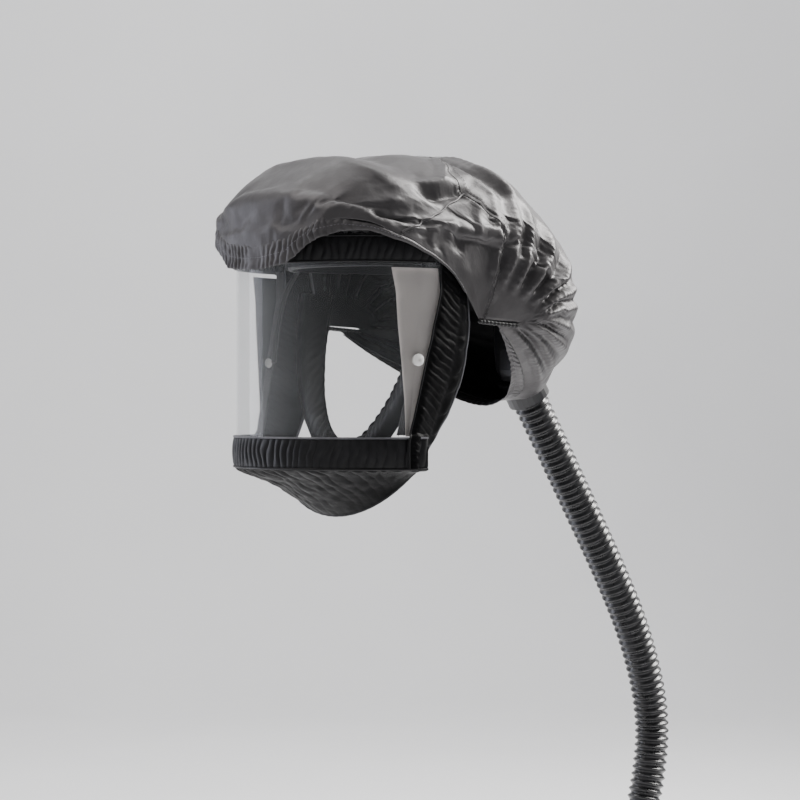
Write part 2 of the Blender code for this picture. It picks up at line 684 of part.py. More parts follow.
def make_filters():
    body = material("filter_case", (0.42, 0.43, 0.42), 0.5)
    seal = material("gasket_rubber", (0.03, 0.03, 0.03), 0.6)
    for side, sign in (("left", 1), ("right", -1)):
        face = Vector((sign * HOUSING.x / 2, BLOWER.y, BLOWER.z))
        axis = (sign, 0, 0)
        ring(f"filter_gasket_{side}", 0.0260, 0.0190, GAP, 0.0023, face, axis, seal)
        end = 0.0026 + FILTER_LENGTH
        canister = [(0, end), (0.0290, end), (FILTER_RADIUS, end - 0.004), (FILTER_RADIUS, 0.0056),
                    (0.0300, 0.0026), (0.0174, 0.0026), (0.0174, -0.0045), (0.0140, -0.0045),
                    (0.0140, 0.0060), (0, 0.0060)]
        turned(f"filter_{side}", canister, face, axis, body, 28)
        cover = [(0, 0.0030), (0.0250, 0.0030), (0.0280, 0.0018), (0.0280, GAP), (0, GAP)]
        turned(f"filter_cover_{side}", cover, face + Vector(axis) * end, axis, plastic(), 28)


def make_battery():
    centre = Vector((0, BLOWER.y, BATTERY_TOP - BATTERY.z / 2))
    pack = box("battery_pack", BATTERY, centre, material("battery_case", (0.07, 0.07, 0.075), 0.5), 0.004, 2)
    baked(pack)
    front = centre.y + BATTERY.y / 2
    pocket = box("latch_pocket", (0.0246, 0.0140, 0.0126), (0.036, front, centre.z))
    combine(pack, pocket)
    box("battery_latch", (0.024, 0.0062, 0.012), (0.036, front - 0.0013, centre.z), material("red_latch",
        (0.45, 0.05, 0.04), 0.4), 0.001)


# ---------------------------------------------------------------- belt
def belt_point(turn, extra=0.0):
    """A point on the belt's loop, from the back round by the left."""
    x = (BELT_HALF[0] + extra) * math.sin(turn)
    y = BELT_CENTRE.y + (BELT_HALF[1] + extra) * math.cos(turn)
    return x, y


def belt_strap(name, start, end, columns):
    path = [belt_point(math.radians(t)) for t in spread(start, end, columns)]
    low = BELT_CENTRE.z - BELT_WIDTH / 2
    web = material("belt_webbing", (0.03, 0.03, 0.032), 0.85)
    return upright_band(name, path, low, low + BELT_WIDTH, BELT_THICK, web)


def make_belt():
    belt_strap("belt_back", -29, 29, 13)
    belt_strap("belt_left", 30, 166, 27)
    belt_strap("belt_right", -30, -166, 27)
    back_y = BLOWER.y - HOUSING.y / 2
    box("comfort_pad", PAD, (0, back_y - 0.0005 - PAD.y / 2, -0.668),
        material("pad_foam", (0.05, 0.05, 0.055), 0.9), 0.003)
    front_y = BELT_CENTRE.y - BELT_HALF[1]
    case = plastic()
    female = box("buckle_socket", (0.0340, 0.0110, 0.0460), (-0.0215, front_y, BELT_CENTRE.z), case, 0.002)
    baked(female)
    combine(female, box("buckle_mouth", (0.0280, 0.0060, 0.0340), (-0.0140, front_y, BELT_CENTRE.z)))
    combine(female, box("release_window", (0.0126, 0.0080, 0.0166), (-0.0215, front_y - 0.0055, BELT_CENTRE.z)))
    tongue = box("buckle_tongue", (0.0340, 0.0110, 0.0460), (0.0215, front_y, BELT_CENTRE.z), case, 0.002)
    baked(tongue)
    combine(tongue, box("tongue_blade", (0.0280, 0.0040, 0.0320), (-0.0080, front_y, BELT_CENTRE.z)), "UNION")
    box("buckle_button", (0.0120, 0.0032, 0.0160), (-0.0215, front_y - 0.0055, BELT_CENTRE.z),
        material("red_button", (0.5, 0.05, 0.04), 0.4), 0.0006)
    turn = math.radians(138)
    x, y = belt_point(turn)
    loop = box("belt_adjuster", (0.026, 0.0075, 0.050), (x, y, BELT_CENTRE.z), case, 0.001)
    loop.rotation_euler = (0, 0, math.atan2(-BELT_HALF[1] * math.sin(turn), BELT_HALF[0] * math.cos(turn)))
    baked(loop)
    slot = box("adjuster_slot", (0.040, 0.0042, 0.0424), (x, y, BELT_CENTRE.z))
    slot.rotation_euler = loop.rotation_euler
    combine(loop, slot)


def main():
    clear_scene()
    collection("powered_air_respirator")
    collection("cutters")
    make_hood()
    make_visor()
    make_chin_and_seal()
    make_headgear()
    make_air_duct()
    make_hose()
    make_blower()
    make_filters()
    make_battery()
    make_belt()


main()
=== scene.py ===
"""Looks of a powered air respirator: a grey nylon hood with a curved clear visor, a corrugated breathing
hose and a belt-mounted blower, dressed over its CAD frame.

Metres, +Z up, the wearer faces -Y and the wearer's left is +X.
"""

import math
import random

import bmesh
import bpy
import numpy as np
from bpy.props import FloatProperty, FloatVectorProperty, IntProperty, PointerProperty
from bpy.types import Operator, Panel, PropertyGroup
from mathutils import Matrix, Vector, noise
from mathutils.bvhtree import BVHTree


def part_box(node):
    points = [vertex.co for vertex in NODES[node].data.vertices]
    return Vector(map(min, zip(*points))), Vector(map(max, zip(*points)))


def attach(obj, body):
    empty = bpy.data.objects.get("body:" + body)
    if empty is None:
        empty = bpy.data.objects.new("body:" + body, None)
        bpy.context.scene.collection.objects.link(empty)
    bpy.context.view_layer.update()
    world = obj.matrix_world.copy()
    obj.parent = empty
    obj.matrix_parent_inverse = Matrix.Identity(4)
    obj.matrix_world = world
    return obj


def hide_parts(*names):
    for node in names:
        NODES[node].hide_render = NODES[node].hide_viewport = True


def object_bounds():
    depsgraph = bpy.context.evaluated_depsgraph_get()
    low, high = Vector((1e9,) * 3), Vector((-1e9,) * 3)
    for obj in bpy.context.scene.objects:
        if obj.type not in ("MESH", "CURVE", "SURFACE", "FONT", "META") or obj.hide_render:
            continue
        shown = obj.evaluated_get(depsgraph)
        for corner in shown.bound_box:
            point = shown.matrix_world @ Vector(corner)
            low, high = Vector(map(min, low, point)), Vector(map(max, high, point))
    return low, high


bl_info = {
    "name": "Powered Air Respirator",
    "version": (1, 0, 0),
    "blender": (4, 5, 0),
    "location": "View3D > Sidebar > Respirator",
    "description": "Dresses the respirator's frame with fabric, hose, visor and blower details",
    "category": "Object",
}

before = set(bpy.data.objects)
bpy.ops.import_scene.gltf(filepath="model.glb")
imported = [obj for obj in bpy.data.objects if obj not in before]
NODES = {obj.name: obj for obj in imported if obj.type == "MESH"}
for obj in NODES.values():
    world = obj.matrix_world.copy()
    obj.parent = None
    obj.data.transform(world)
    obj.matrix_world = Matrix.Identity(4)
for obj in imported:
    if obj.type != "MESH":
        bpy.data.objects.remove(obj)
CAD_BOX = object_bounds()
MAIN = "hood_and_blower"

# ---------------------------------------------------------------- the frame's own dimensions
EAR = Vector((0.109, 0.005, -0.062))  # every arch of the hood starts and ends at the ears
ARCHES = [  # (angle from straight ahead, over the top, to the back; height of the arch above the ear line)
    (17, 0.1665), (26, 0.1755), (37, 0.1854), (51, 0.1785), (67, 0.1545), (88, 0.148), (111, 0.151),
    (130, 0.1475), (148, 0.1495), (163, 0.1515), (174, 0.163), (188, 0.175), (200, 0.168), (214, 0.126),
]
# The arch heights above and the two lines below were fitted by a separate script, then rounded and adjusted.
# lines on the hood: (turn from the nearer ear in degrees, arch angle); the hem rises at the sides
BRIM_LINE = [
    (0, 52.5), (12.5, 51.5), (24, 43.5), (35.5, 38.5), (45.5, 36.5), (58, 32.5), (70, 27), (80, 21.5),
    (90, 20),
]
SEAM_LINE = [(0, 104), (20, 104), (29, 102), (36.5, 90.5), (44.5, 83), (56, 82.5), (78.5, 91), (90, 93)]
SIDE_SEAM = [(44.5, 83), (38, 68), (32.5, 55.5), (32, 46), (34,
                                                            38)]  # from the seam forwards and down to the hem
NAPE_START = 209.0
EAR_GATHER = 0.040

CAMERA_AIM = Vector((0.0028, 0.0034, -0.127))

LENS_RADIUS, LENS_THICK = 0.109, 0.001
LENS_CENTRE_Y = -0.037
LENS_TOP, LENS_BOTTOM = 0.006, -0.161
SIDE_SPLIT_Z = -0.037
REAR_ANGLE_TOP, REAR_ANGLE_BOTTOM = math.radians(89), math.radians(73)
BAND_RADIUS = 0.1104
TOP_BAND = (0.0076, -0.0132)  # upper and lower edge
TOP_BAND_END = 1.46  # its ends, from straight ahead, in radians
BOTTOM_BAND = (-0.1583, -0.184)
STUD_ANGLE, STUD_Z = math.radians(76), -0.094
SIDE_BAND_REAR = [  # (height, side, depth)
    (0.006, 0.1010, -0.0190), (-0.030, 0.1035, -0.0100), (-0.062, 0.1030, -0.0050),
    (-0.090, 0.1020, -0.0080), (-0.115, 0.1000, -0.0140), (-0.138, 0.0970, -0.0240),
                  (-0.1575, 0.0940, -0.0350),
    (-0.1680, 0.0920, -0.0415), (-0.1760, 0.0905, -0.0470), (-0.1835, 0.0890, -0.0520),
]
BAND_END = 1.40  # the bottom band's ends, from straight ahead, in radians

COLLAR_POINT = Vector((0, 0.1610, -0.1250))
HOSE_DIRECTION = Vector((0, 0.53, -0.848)).normalized()
HOSE_ROUTE = [  # (Y, Z) in the plane X = 0
    (0.1616, -0.1260), (0.2120, -0.2040), (0.2650, -0.2880), (0.2975, -0.3470), (0.3180, -0.4020),
    (0.3250, -0.4450), (0.3215, -0.4830), (0.3130, -0.5180), (0.3045, -0.5480), (0.3004, -0.5680),
    (0.3000, -0.5800),
]

BELT_CENTRE = Vector((0, 0.130, -0.660))
BELT_HALF = (0.160, 0.120)
BELT_WIDTH = 0.040


# ---------------------------------------------------------------- settings a user would change
class HoodSettings(PropertyGroup):
    nylon: FloatVectorProperty(name="Nylon", description="Colour of the hood's coated nylon", subtype="COLOR",
                               size=3, min=0, max=1, default=(0.060, 0.057, 0.059))
    fold_height: FloatProperty(name="Fold height",
                               description="Scale of the folds that run out from the ears",
                               default=1.0, min=0, max=2)
    ruffle: FloatProperty(name="Hem ruffle", description="Depth of the ruffles in the gathered hems",
                          default=0.0019, min=0, max=0.004, unit="LENGTH")
    thickness: FloatProperty(name="Thickness", description="Thickness of the fabric", default=0.0006,
                             min=0.0003, max=0.002, unit="LENGTH")
    settle_frames: IntProperty(name="Settle frames", description="Frames of cloth simulation for the hood",
                               default=16, min=2, max=60)
    pressure: FloatProperty(name="Air pressure", description="Push of the air inside the hood", default=1.6,
                            min=0, max=10)


class VisorSettings(PropertyGroup):
    tint: FloatVectorProperty(name="Tint", description="Colour of the clear visor", subtype="COLOR", size=3,
                              min=0, max=1, default=(0.80, 0.83, 0.86))
    shade: FloatVectorProperty(name="Side shade", description="Colour of the opaque side shades",
                               subtype="COLOR",
                               size=3, min=0, max=1, default=(0.42, 0.39, 0.37))
    gather_pitch: FloatProperty(name="Gather pitch",
                                description="Spacing of the gathers in the elastic bands",
                                default=0.0062, min=0.003, max=0.02, unit="LENGTH")
    gather_depth: FloatProperty(name="Gather depth", description="Depth of the gathers in the elastic bands",
                                default=0.0011, min=0, max=0.003, unit="LENGTH")


class HeadgearSettings(PropertyGroup):
    knurls: IntProperty(name="Knob ribs", description="Grip ribs round the ratchet knob", default=22, min=6,
                        max=60)
    strap_thickness: FloatProperty(name="Strap thickness", description="Thickness of the crown straps",
                                   default=0.0014, min=0.0008, max=0.003, unit="LENGTH")


class HoseSettings(PropertyGroup):
    rib_pitch: FloatProperty(name="Rib pitch", description="Distance between two ribs of the hose",
                             default=0.0073, min=0.004, max=0.02, unit="LENGTH")
    outer_radius: FloatProperty(name="Outer radius", description="Radius of the hose over its ribs",
                                default=0.0166, min=0.01, max=0.03, unit="LENGTH")
    rib_depth: FloatProperty(name="Rib depth", description="Depth of the grooves between the ribs",
                             default=0.0029, min=0, max=0.006, unit="LENGTH")


class BlowerSettings(PropertyGroup):
    case: FloatVectorProperty(name="Case", description="Colour of the blower's casing", subtype="COLOR",
                              size=3,
                              min=0, max=1, default=(0.035, 0.037, 0.041))
    filter_ribs: IntProperty(name="Filter ribs", description="Grip ribs round each filter", default=36, min=8,
                             max=90)
    hole_rings: IntProperty(name="Hole rings", description="Rings of inlet holes in each filter cover",
                            default=6,
                            min=1, max=10)


class BeltSettings(PropertyGroup):
    webbing: FloatVectorProperty(name="Webbing", description="Colour of the belt", subtype="COLOR", size=3,
                                 min=0,
                                 max=1, default=(0.022, 0.022, 0.025))
    thickness: FloatProperty(name="Thickness", description="Thickness of the webbing", default=0.0024,
                             min=0.001,
                             max=0.004, unit="LENGTH")


class StageSettings(PropertyGroup):
    azimuth: FloatProperty(name="Azimuth",
                           description="Camera's turn from the front towards the wearer's left",
                           default=math.radians(50), subtype="ANGLE")
    distance: FloatProperty(name="Distance", description="Camera's distance from the hood", default=1.95,
                            min=0.5,
                            max=10, unit="LENGTH")
    lens: FloatProperty(name="Lens", description="Camera's focal length in millimetres", default=100, min=20,
                        max=200)
    key: FloatProperty(name="Key light", description="Power of the softbox behind the hood", default=78,
                       min=0,
                       max=500, unit="POWER")
    top: FloatProperty(name="Top light", description="Power of the softbox over the brim", default=20, min=0,
                       max=500, unit="POWER")


SETTINGS = {
    "respirator_hood": HoodSettings, "respirator_visor": VisorSettings,
    "respirator_headgear": HeadgearSettings,
    "respirator_hose": HoseSettings, "respirator_blower": BlowerSettings, "respirator_belt": BeltSettings,
    "respirator_stage": StageSettings,
}


# ---------------------------------------------------------------- materials
class Finish:
    """A procedural material in the making. Patterns read Object coordinates, or a UV map in metres."""

    def __init__(self, name, roughness=0.5, metallic=0.0, **sockets):
        self.material = bpy.data.materials.new(name)
        self.material.use_nodes = True
        self.tree = self.material.node_tree
        self.shader = self.tree.nodes["Principled BSDF"]
        self.set(Roughness=roughness, Metallic=metallic)
        for socket, value in sockets.items():
            self.shader.inputs[socket.replace("_", " ")].default_value = value
        self.place = self.tree.nodes.new("ShaderNodeTexCoord")
        self.last_bump = None

    def set(self, **sockets):
        for socket, value in sockets.items():
            self.shader.inputs[socket].default_value = value

    def node(self, kind, inputs=(), **settings):
        made = self.tree.nodes.new("ShaderNode" + kind)
        for key, value in settings.items():
            setattr(made, key, value)
        for key, value in dict(inputs).items():
            if isinstance(value, bpy.types.NodeSocket):
                self.tree.links.new(value, made.inputs[key])
            else:
                made.inputs[key].default_value = value
        return made

    def where(self, by_uv=False, scale=(1, 1, 1)):
        source = self.place.outputs["UV" if by_uv else "Object"]
        if scale == (1, 1, 1):
            return source
        return self.node("Mapping", {"Vector": source, "Scale": scale}).outputs["Vector"]

    def noise(self, scale, detail=4, by_uv=False, stretch=(1, 1, 1)):
        found = self.node("TexNoise", {"Vector": self.where(by_uv, stretch), "Scale": scale,
                                       "Detail": detail})
        return found.outputs["Fac"]

    def cells(self, scale, feature="F1"):
        found = self.node("TexVoronoi", {"Vector": self.where(), "Scale": scale}, feature=feature)
        return found.outputs["Distance"]

    def waves(self, pitch, along="X", by_uv=True, bend=0.0):
        """Even ridges across one axis, a pitch apart in metres."""
        found = self.node("TexWave", {"Vector": self.where(by_uv), "Scale": 2 * math.pi / pitch / 20,
                                      "Distortion": bend, "Detail": 1.0}, bands_direction=along)
        return found.outputs["Fac"]

    def blend(self, a, b, factor=0.5, kind="MIX"):
        made = self.node("Math", {0: a, 1: b}, operation={"ADD": "ADD", "MULTIPLY": "MULTIPLY",
                                                          "MAX": "MAXIMUM", "MIX": "ADD"}[kind])
        if kind == "MIX":
            return self.node("Math", {0: made.outputs[0], 1: factor}, operation="MULTIPLY").outputs[0]
        return made.outputs[0]

    def span(self, value, low, high, start=0.0, end=1.0):
        found = self.node("MapRange", {"Value": value, "From Min": start, "From Max": end, "To Min": low,
                                       "To Max": high})
        return found.outputs["Result"]

    def colours(self, value, *stops):
        """Links the base colour to a ramp of (position, colour)."""
        ramp = self.node("ValToRGB", {"Fac": value})
        elements = ramp.color_ramp.elements
        while len(elements) < len(stops):
            elements.new(0.5)
        for element, (position, colour) in zip(elements, stops):
            element.position = position
            element.color = (*colour[:3], 1)
        self.tree.links.new(ramp.outputs["Color"], self.shader.inputs["Base Color"])
        return self

    def rough(self, value, low, high):
        self.tree.links.new(self.span(value, low, high, 0.25, 0.75), self.shader.inputs["Roughness"])
        return self

    def bump(self, height, distance, strength=1.0):
        made = self.node("Bump", {"Height": height, "Distance": distance, "Strength": strength})
        if self.last_bump:
            self.tree.links.new(self.last_bump.outputs["Normal"], made.inputs["Normal"])
        self.last_bump = made
        self.tree.links.new(made.outputs["Normal"], self.shader.inputs["Normal"])
        return self


def shaded(colour, factor):
    return tuple(min(c * factor, 1) for c in colour[:3])


def coated_nylon(name, colour):
    """Tightly woven nylon with a faint metallic coating: fine ripples and a soft mottle."""
    made = Finish(name, 0.42, 0.36, Specular_IOR_Level=0.36, Sheen_Weight=0.04, Sheen_Roughness=0.4)
    mottle = made.noise(26, 5)
    made.colours(mottle, (0.28, shaded(colour, 0.82)), (0.52, colour), (0.75, shaded(colour, 1.16)))
    made.rough(made.noise(60, 3), 0.37, 0.52)
    made.bump(made.noise(105, 3), 0.0007, 0.45)
    made.bump(made.noise(330, 2), 0.00022, 0.4)
    weave = made.blend(made.waves(0.0011, "X"), made.waves(0.0011, "Y"))
    return made.bump(weave, 0.00006, 0.5).material


def black_fabric(name, colour=(0.0055, 0.0055, 0.0065), gloss=0.27):
    """Black coated fabric of the visor's bands: closer to satin than the hood."""
    made = Finish(name, 0.44, 0.0, Specular_IOR_Level=gloss, Sheen_Weight=gloss * 0.1, Sheen_Roughness=0.4)
    made.colours(made.noise(70, 4), (0.3, shaded(colour, 0.7)), (0.7, shaded(colour, 1.5)))
    made.rough(made.noise(140, 3), 0.36, 0.58)
    made.bump(made.noise(240, 3), 0.0004, 0.5)
    weave = made.blend(made.waves(0.0009, "X"), made.waves(0.0009, "Y"))
    return made.bump(weave, 0.00008, 0.6).material


def webbing(name, colour, pitch=0.0016):
    """Woven strap: chevrons of thread along its length."""
    made = Finish(name, 0.78, 0.0, Specular_IOR_Level=0.35, Sheen_Weight=0.35, Sheen_Roughness=0.5)
    thread = made.blend(made.waves(pitch, "X", bend=0.4), made.waves(pitch * 0.62, "Y", bend=0.4),
                        kind="MULTIPLY")
    made.colours(thread, (0.0, shaded(colour, 0.45)), (0.35, colour), (1.0, shaded(colour, 2.0)))
    made.rough(made.noise(260, 3), 0.66, 0.88)
    made.bump(thread, 0.0004, 0.8)
    return made.bump(made.noise(700, 2), 0.00012, 0.4).material


def moulded(name, colour, roughness=0.42, grain=1500, **sockets):
    """Injection-moulded plastic: fine spark texture, slight unevenness, edges polished by handling."""
    made = Finish(name, roughness, 0.0, Specular_IOR_Level=0.5, **sockets)
    wear = made.node("NewGeometry").outputs["Pointiness"]
    mixed = made.blend(made.noise(38, 4), made.span(wear, 0.0, 0.8, 0.48, 0.56))
    made.colours(mixed, (0.15, shaded(colour, 0.85)), (0.4, colour), (0.8, shaded(colour, 1.55)))
    made.rough(made.noise(90, 4), roughness - 0.08, roughness + 0.08)
    made.bump(made.cells(grain), 0.00006, 0.5)
    return made.bump(made.noise(24, 2), 0.0004, 0.12).material


def rubber(name, colour, roughness=0.42):
    """Black moulded rubber with a faint bloom."""
    made = Finish(name, roughness, 0.0, Specular_IOR_Level=0.6)
    made.colours(made.noise(55, 5), (0.3, colour), (0.8, shaded(colour, 2.4)))
    made.rough(made.noise(120, 4), roughness - 0.10, roughness + 0.10)
    made.bump(made.noise(900, 2), 0.00005, 0.5)
    return made.bump(made.noise(150, 2), 0.0002, 0.25).material


def foam(name, colour, cell=900):
    """Open-cell foam under a thin knitted skin."""
    made = Finish(name, 0.92, 0.0, Specular_IOR_Level=0.2, Sheen_Weight=0.4)
    pores_and_pore_shade = made.cells(cell)
    # the ramp is darkest at the pores' centres, a painted shade in the pores, and paler between them
    made.colours(pores_and_pore_shade, (0.0, shaded(colour, 0.35)), (0.35, colour), (0.9, shaded(colour, 1.7)))
    made.rough(made.noise(300, 3), 0.82, 0.97)
    made.bump(pores_and_pore_shade, 0.0004, 0.8)
    return made.bump(made.noise(60, 3), 0.0007, 0.3).material


def spun_metal(name, colour, roughness=0.3):
    """Turned metal: fine rings with slight tarnish."""
    made = Finish(name, roughness, 1.0)
    made.colours(made.noise(120, 5), (0.3, shaded(colour, 0.7)), (0.7, colour))
    made.rough(made.noise(340, 4, stretch=(1, 8, 1)), roughness - 0.1, roughness + 0.18)
    return made.bump(made.noise(700, 2, stretch=(1, 10, 1)), 0.00006, 0.5).material


def clear_sheet(name, tint, clear_alpha, edge_alpha, roughness=0.05):
    """Clear polycarbonate: nearly gone face-on; at a grazing angle its pale colour turns half opaque, a
    painted reflection; with light haze marks.
    """
    made = Finish(name, roughness, 0.0, Specular_IOR_Level=0.7, Coat_Weight=0.6, Coat_Roughness=0.03)
    made.colours(made.noise(9, 3), (0.3, shaded(tint, 0.92)), (0.7, tint))
    made.rough(made.noise(46, 5), roughness - 0.02, roughness + 0.05)
    # alpha rises from face-on to grazing, so the pale base colour shows at the silhouette: a painted
    # reflection
    grazing = made.node("LayerWeight", {"Blend": 0.16}).outputs["Facing"]
    haze = made.span(made.noise(30, 5), 0.0, 0.015, 0.5, 0.8)
    alpha = made.blend(made.span(grazing, clear_alpha, edge_alpha), haze, kind="ADD")
    made.tree.links.new(alpha, made.shader.inputs["Alpha"])
    return made.bump(made.noise(14, 1), 0.0003, 0.08).material


def circuit_lacquer(name):
    """Green board with paler copper tracks under the lacquer."""
    made = Finish(name, 0.35, 0.0, Coat_Weight=0.4, Coat_Roughness=0.12)
    tracks = made.node("TexBrick", {"Vector": made.where(scale=(1, 1, 1)), "Scale": 260.0,
                                    "Mortar Size": 0.06})
    made.colours(tracks.outputs["Fac"], (0.0, (0.012, 0.10, 0.035)), (1.0, (0.10, 0.30, 0.10)))
    made.rough(made.noise(200, 3), 0.28, 0.45)
    return made.bump(tracks.outputs["Fac"], 0.00012, 0.5).material


LOOKS = {}


def look(name):
    """The named finish, made on first use."""
    if name in LOOKS:
        return LOOKS[name]
    settings = bpy.context.scene
    hood, visor = settings.respirator_hood, settings.respirator_visor
    blower, belt = settings.respirator_blower, settings.respirator_belt
    makers = {
        "hood nylon": lambda: coated_nylon("hood nylon", hood.nylon),
        # the hood's nylon painted 2% lighter: a lit copy of the same fabric, a painted highlight on the hems,
        # seam tape and side seams
        "hem nylon": lambda: coated_nylon("hem nylon", shaded(hood.nylon, 1.02)),
        # the hood's inside faces painted near-black: a painted shade for the unlit inside of the hood
        "hood inside painted dark": lambda: black_fabric("hood inside painted dark", (0.010, 0.010, 0.011)),
        "band fabric": lambda: black_fabric("band fabric"),
        "matt elastic": lambda: black_fabric("matt elastic", (0.0030, 0.0030, 0.0034), 0.045),
        "seal fabric": lambda: black_fabric("seal fabric", (0.003, 0.003, 0.0035)),
        # piping: a mid-grey cord, much paler than the black bands, a painted highlight along the bottom
        # band's top edge and the side lobes' rear rims
        "piping": lambda: black_fabric("piping", (0.10, 0.10, 0.11)),
        "seam thread": lambda: webbing("seam thread", (0.16, 0.155, 0.16), 0.0005),
        "pale thread": lambda: webbing("pale thread", (0.30, 0.29, 0.33), 0.0005),
        "visor sheet": lambda: clear_sheet("visor sheet", visor.tint, 0.018, 0.50),
        # the visor's cut edges painted pale and nearly opaque: a painted reflection for the bright lines
        # along the visor's edges
        "visor edge painted bright": lambda: clear_sheet("visor edge painted bright", (0.75, 0.80, 0.86), 0.42, 0.85, 0.12),
        "side shade": lambda: moulded("side shade", visor.shade, 0.5, 900),
        "press stud": lambda: moulded("press stud", (0.78, 0.77, 0.74), 0.3, 1800),
        "black plastic": lambda: moulded("black plastic", (0.018, 0.018, 0.020), 0.4),
        "strap webbing": lambda: webbing("strap webbing", (0.075, 0.075, 0.08)),
        "brow foam": lambda: foam("brow foam", (0.028, 0.028, 0.032)),
        "diffuser foam": lambda: foam("diffuser foam", (0.05, 0.05, 0.055), 520),
        "hose rubber": lambda: rubber("hose rubber", (0.010, 0.010, 0.011), 0.30),
        "cuff rubber": lambda: rubber("cuff rubber", (0.012, 0.012, 0.013), 0.5),
        "gasket rubber": lambda: rubber("gasket rubber", (0.02, 0.02, 0.02), 0.6),
        "blower case": lambda: moulded("blower case", blower.case, 0.46),
        "case detail": lambda: moulded("case detail", shaded(blower.case, 0.5), 0.5),
        "filter case": lambda: moulded("filter case", (0.36, 0.37, 0.36), 0.5),
        "battery case": lambda: moulded("battery case", (0.045, 0.046, 0.050), 0.52),
        "green key": lambda: moulded("green key", (0.05, 0.30, 0.12), 0.42),
        "grey key": lambda: moulded("grey key", (0.42, 0.43, 0.42), 0.42),
        "red key": lambda: moulded("red key", (0.42, 0.035, 0.025), 0.4),
        "lamp": lambda: moulded("lamp", (0.62, 0.70, 0.62), 0.16, 600, Coat_Weight=0.8),
        "impeller grey": lambda: moulded("impeller grey", (0.26, 0.26, 0.27), 0.45),
        "motor steel": lambda: spun_metal("motor steel", (0.58, 0.58, 0.57)),
        "screw steel": lambda: spun_metal("screw steel", (0.42, 0.42, 0.43), 0.38),
        "circuit board": lambda: circuit_lacquer("circuit board"),
        "belt webbing": lambda: webbing("belt webbing", belt.webbing, 0.0024),
        "belt edge": lambda: webbing("belt edge", shaded(belt.webbing, 1.6), 0.0012),
        "pad mesh": lambda: foam("pad mesh", (0.030, 0.030, 0.034), 420),
        "pad binding": lambda: webbing("pad binding", (0.03, 0.03, 0.033), 0.0014),
        "hole shadow": lambda: foam("hole shadow", (0.003, 0.003, 0.003), 700),
    }
    LOOKS[name] = makers[name]()
    return LOOKS[name]


# ---------------------------------------------------------------- mesh helpers
def spread(low, high, count):
    return np.linspace(low, high, count)


def smoothstep(low, high, value):
    x = np.clip((np.asarray(value, float) - low) / (high - low), 0, 1)
    return x * x * (3 - 2 * x)


def add(name, verts, faces):
    mesh = bpy.data.meshes.new(name)
    mesh.from_pydata([tuple(v) for v in verts], [], [tuple(f) for f in faces])
    obj = bpy.data.objects.new(name, mesh)
    bpy.context.scene.collection.objects.link(obj)
    return obj


def lengths(points, axis):
    """Distance along the rows or columns of a grid of points, measured from the middle."""
    steps = np.linalg.norm(np.diff(points, axis=axis), axis=2)
    run = np.concatenate([np.zeros_like(np.take(steps, [0], axis)), np.cumsum(steps, axis)], axis)
    return run - np.take(run, [run.shape[axis] // 2], axis)


def grid(name, points, closed=False, outward=None):
    """A skin through rows of points, with a UV map in metres, facing away from the point outward if given."""
    points = np.asarray(points, float)
    if closed:
        points = np.concatenate([points, points[:, :1]], axis=1)
    rows, columns = points.shape[:2]
    r, c = np.meshgrid(np.arange(rows - 1), np.arange(columns - 1), indexing="ij")
    corners = np.stack([r * columns + c, r * columns + c + 1, (r + 1) * columns + c + 1,
                        (r + 1) * columns + c], -1)
    corners = corners.reshape(-1, 4)
    flat = points.reshape(-1, 3)
    if outward is not None:
        a, b, d = flat[corners[:, 0]], flat[corners[:, 1]], flat[corners[:, 3]]
        if np.einsum("ij,ij->", np.cross(b - a, d - a), a - np.array(outward)) < 0:
            corners = corners[:, ::-1]
    obj = add(name, flat, corners)
    uv = np.stack([lengths(points, 1), lengths(points, 0)], -1).reshape(-1, 2)
    layer = obj.data.uv_layers.new(name="metres")
    layer.data.foreach_set("uv", uv[corners.reshape(-1)].astype(np.float32).reshape(-1))
    if closed:
        weld(obj)
    return obj


def weld(obj, outward=False, distance=0.00002):
    work = bmesh.new()
    work.from_mesh(obj.data)
    bmesh.ops.remove_doubles(work, verts=work.verts, dist=distance)
    if outward:
        bmesh.ops.recalc_face_normals(work, faces=work.faces)
    work.to_mesh(obj.data)
    work.free()
    return obj


def baked(obj):
    """Turns the object's modifiers, or its curve, into a plain mesh."""
    graph = bpy.context.evaluated_depsgraph_get()
    mesh = bpy.data.meshes.new_from_object(obj.evaluated_get(graph), preserve_all_data_layers=True,
                                           depsgraph=graph)
    if obj.type == "MESH":
        obj.modifiers.clear()
        obj.data = mesh
        return obj
    name = obj.name
    bpy.data.objects.remove(obj)
    made = bpy.data.objects.new(name, mesh)
    bpy.context.scene.collection.objects.link(made)
    return made


def thicken(obj, thick, offset=-1.0, finer=0, rim=0, edge=0.0, inside=0):
    """Gives a skin its thickness, after making it finer, and rounds its edges if asked. rim and inside are
    the places of those faces' finishes in the piece's list."""
    if finer:
        subdivision = obj.modifiers.new("Finer", "SUBSURF")
        subdivision.levels = subdivision.render_levels = finer
        subdivision.boundary_smooth = "PRESERVE_CORNERS"
    while len(obj.data.materials) <= max(rim, inside):
        obj.data.materials.append(None)
    solid = obj.modifiers.new("Thickness", "SOLIDIFY")
    solid.thickness = thick
    solid.offset = offset
    solid.material_offset_rim, solid.material_offset = rim, inside
    if edge:
        bevel = obj.modifiers.new("Rounded", "BEVEL")
        bevel.width, bevel.segments = edge, 2
        bevel.limit_method = "ANGLE"
        bevel.angle_limit = math.radians(50)
    return baked(obj)


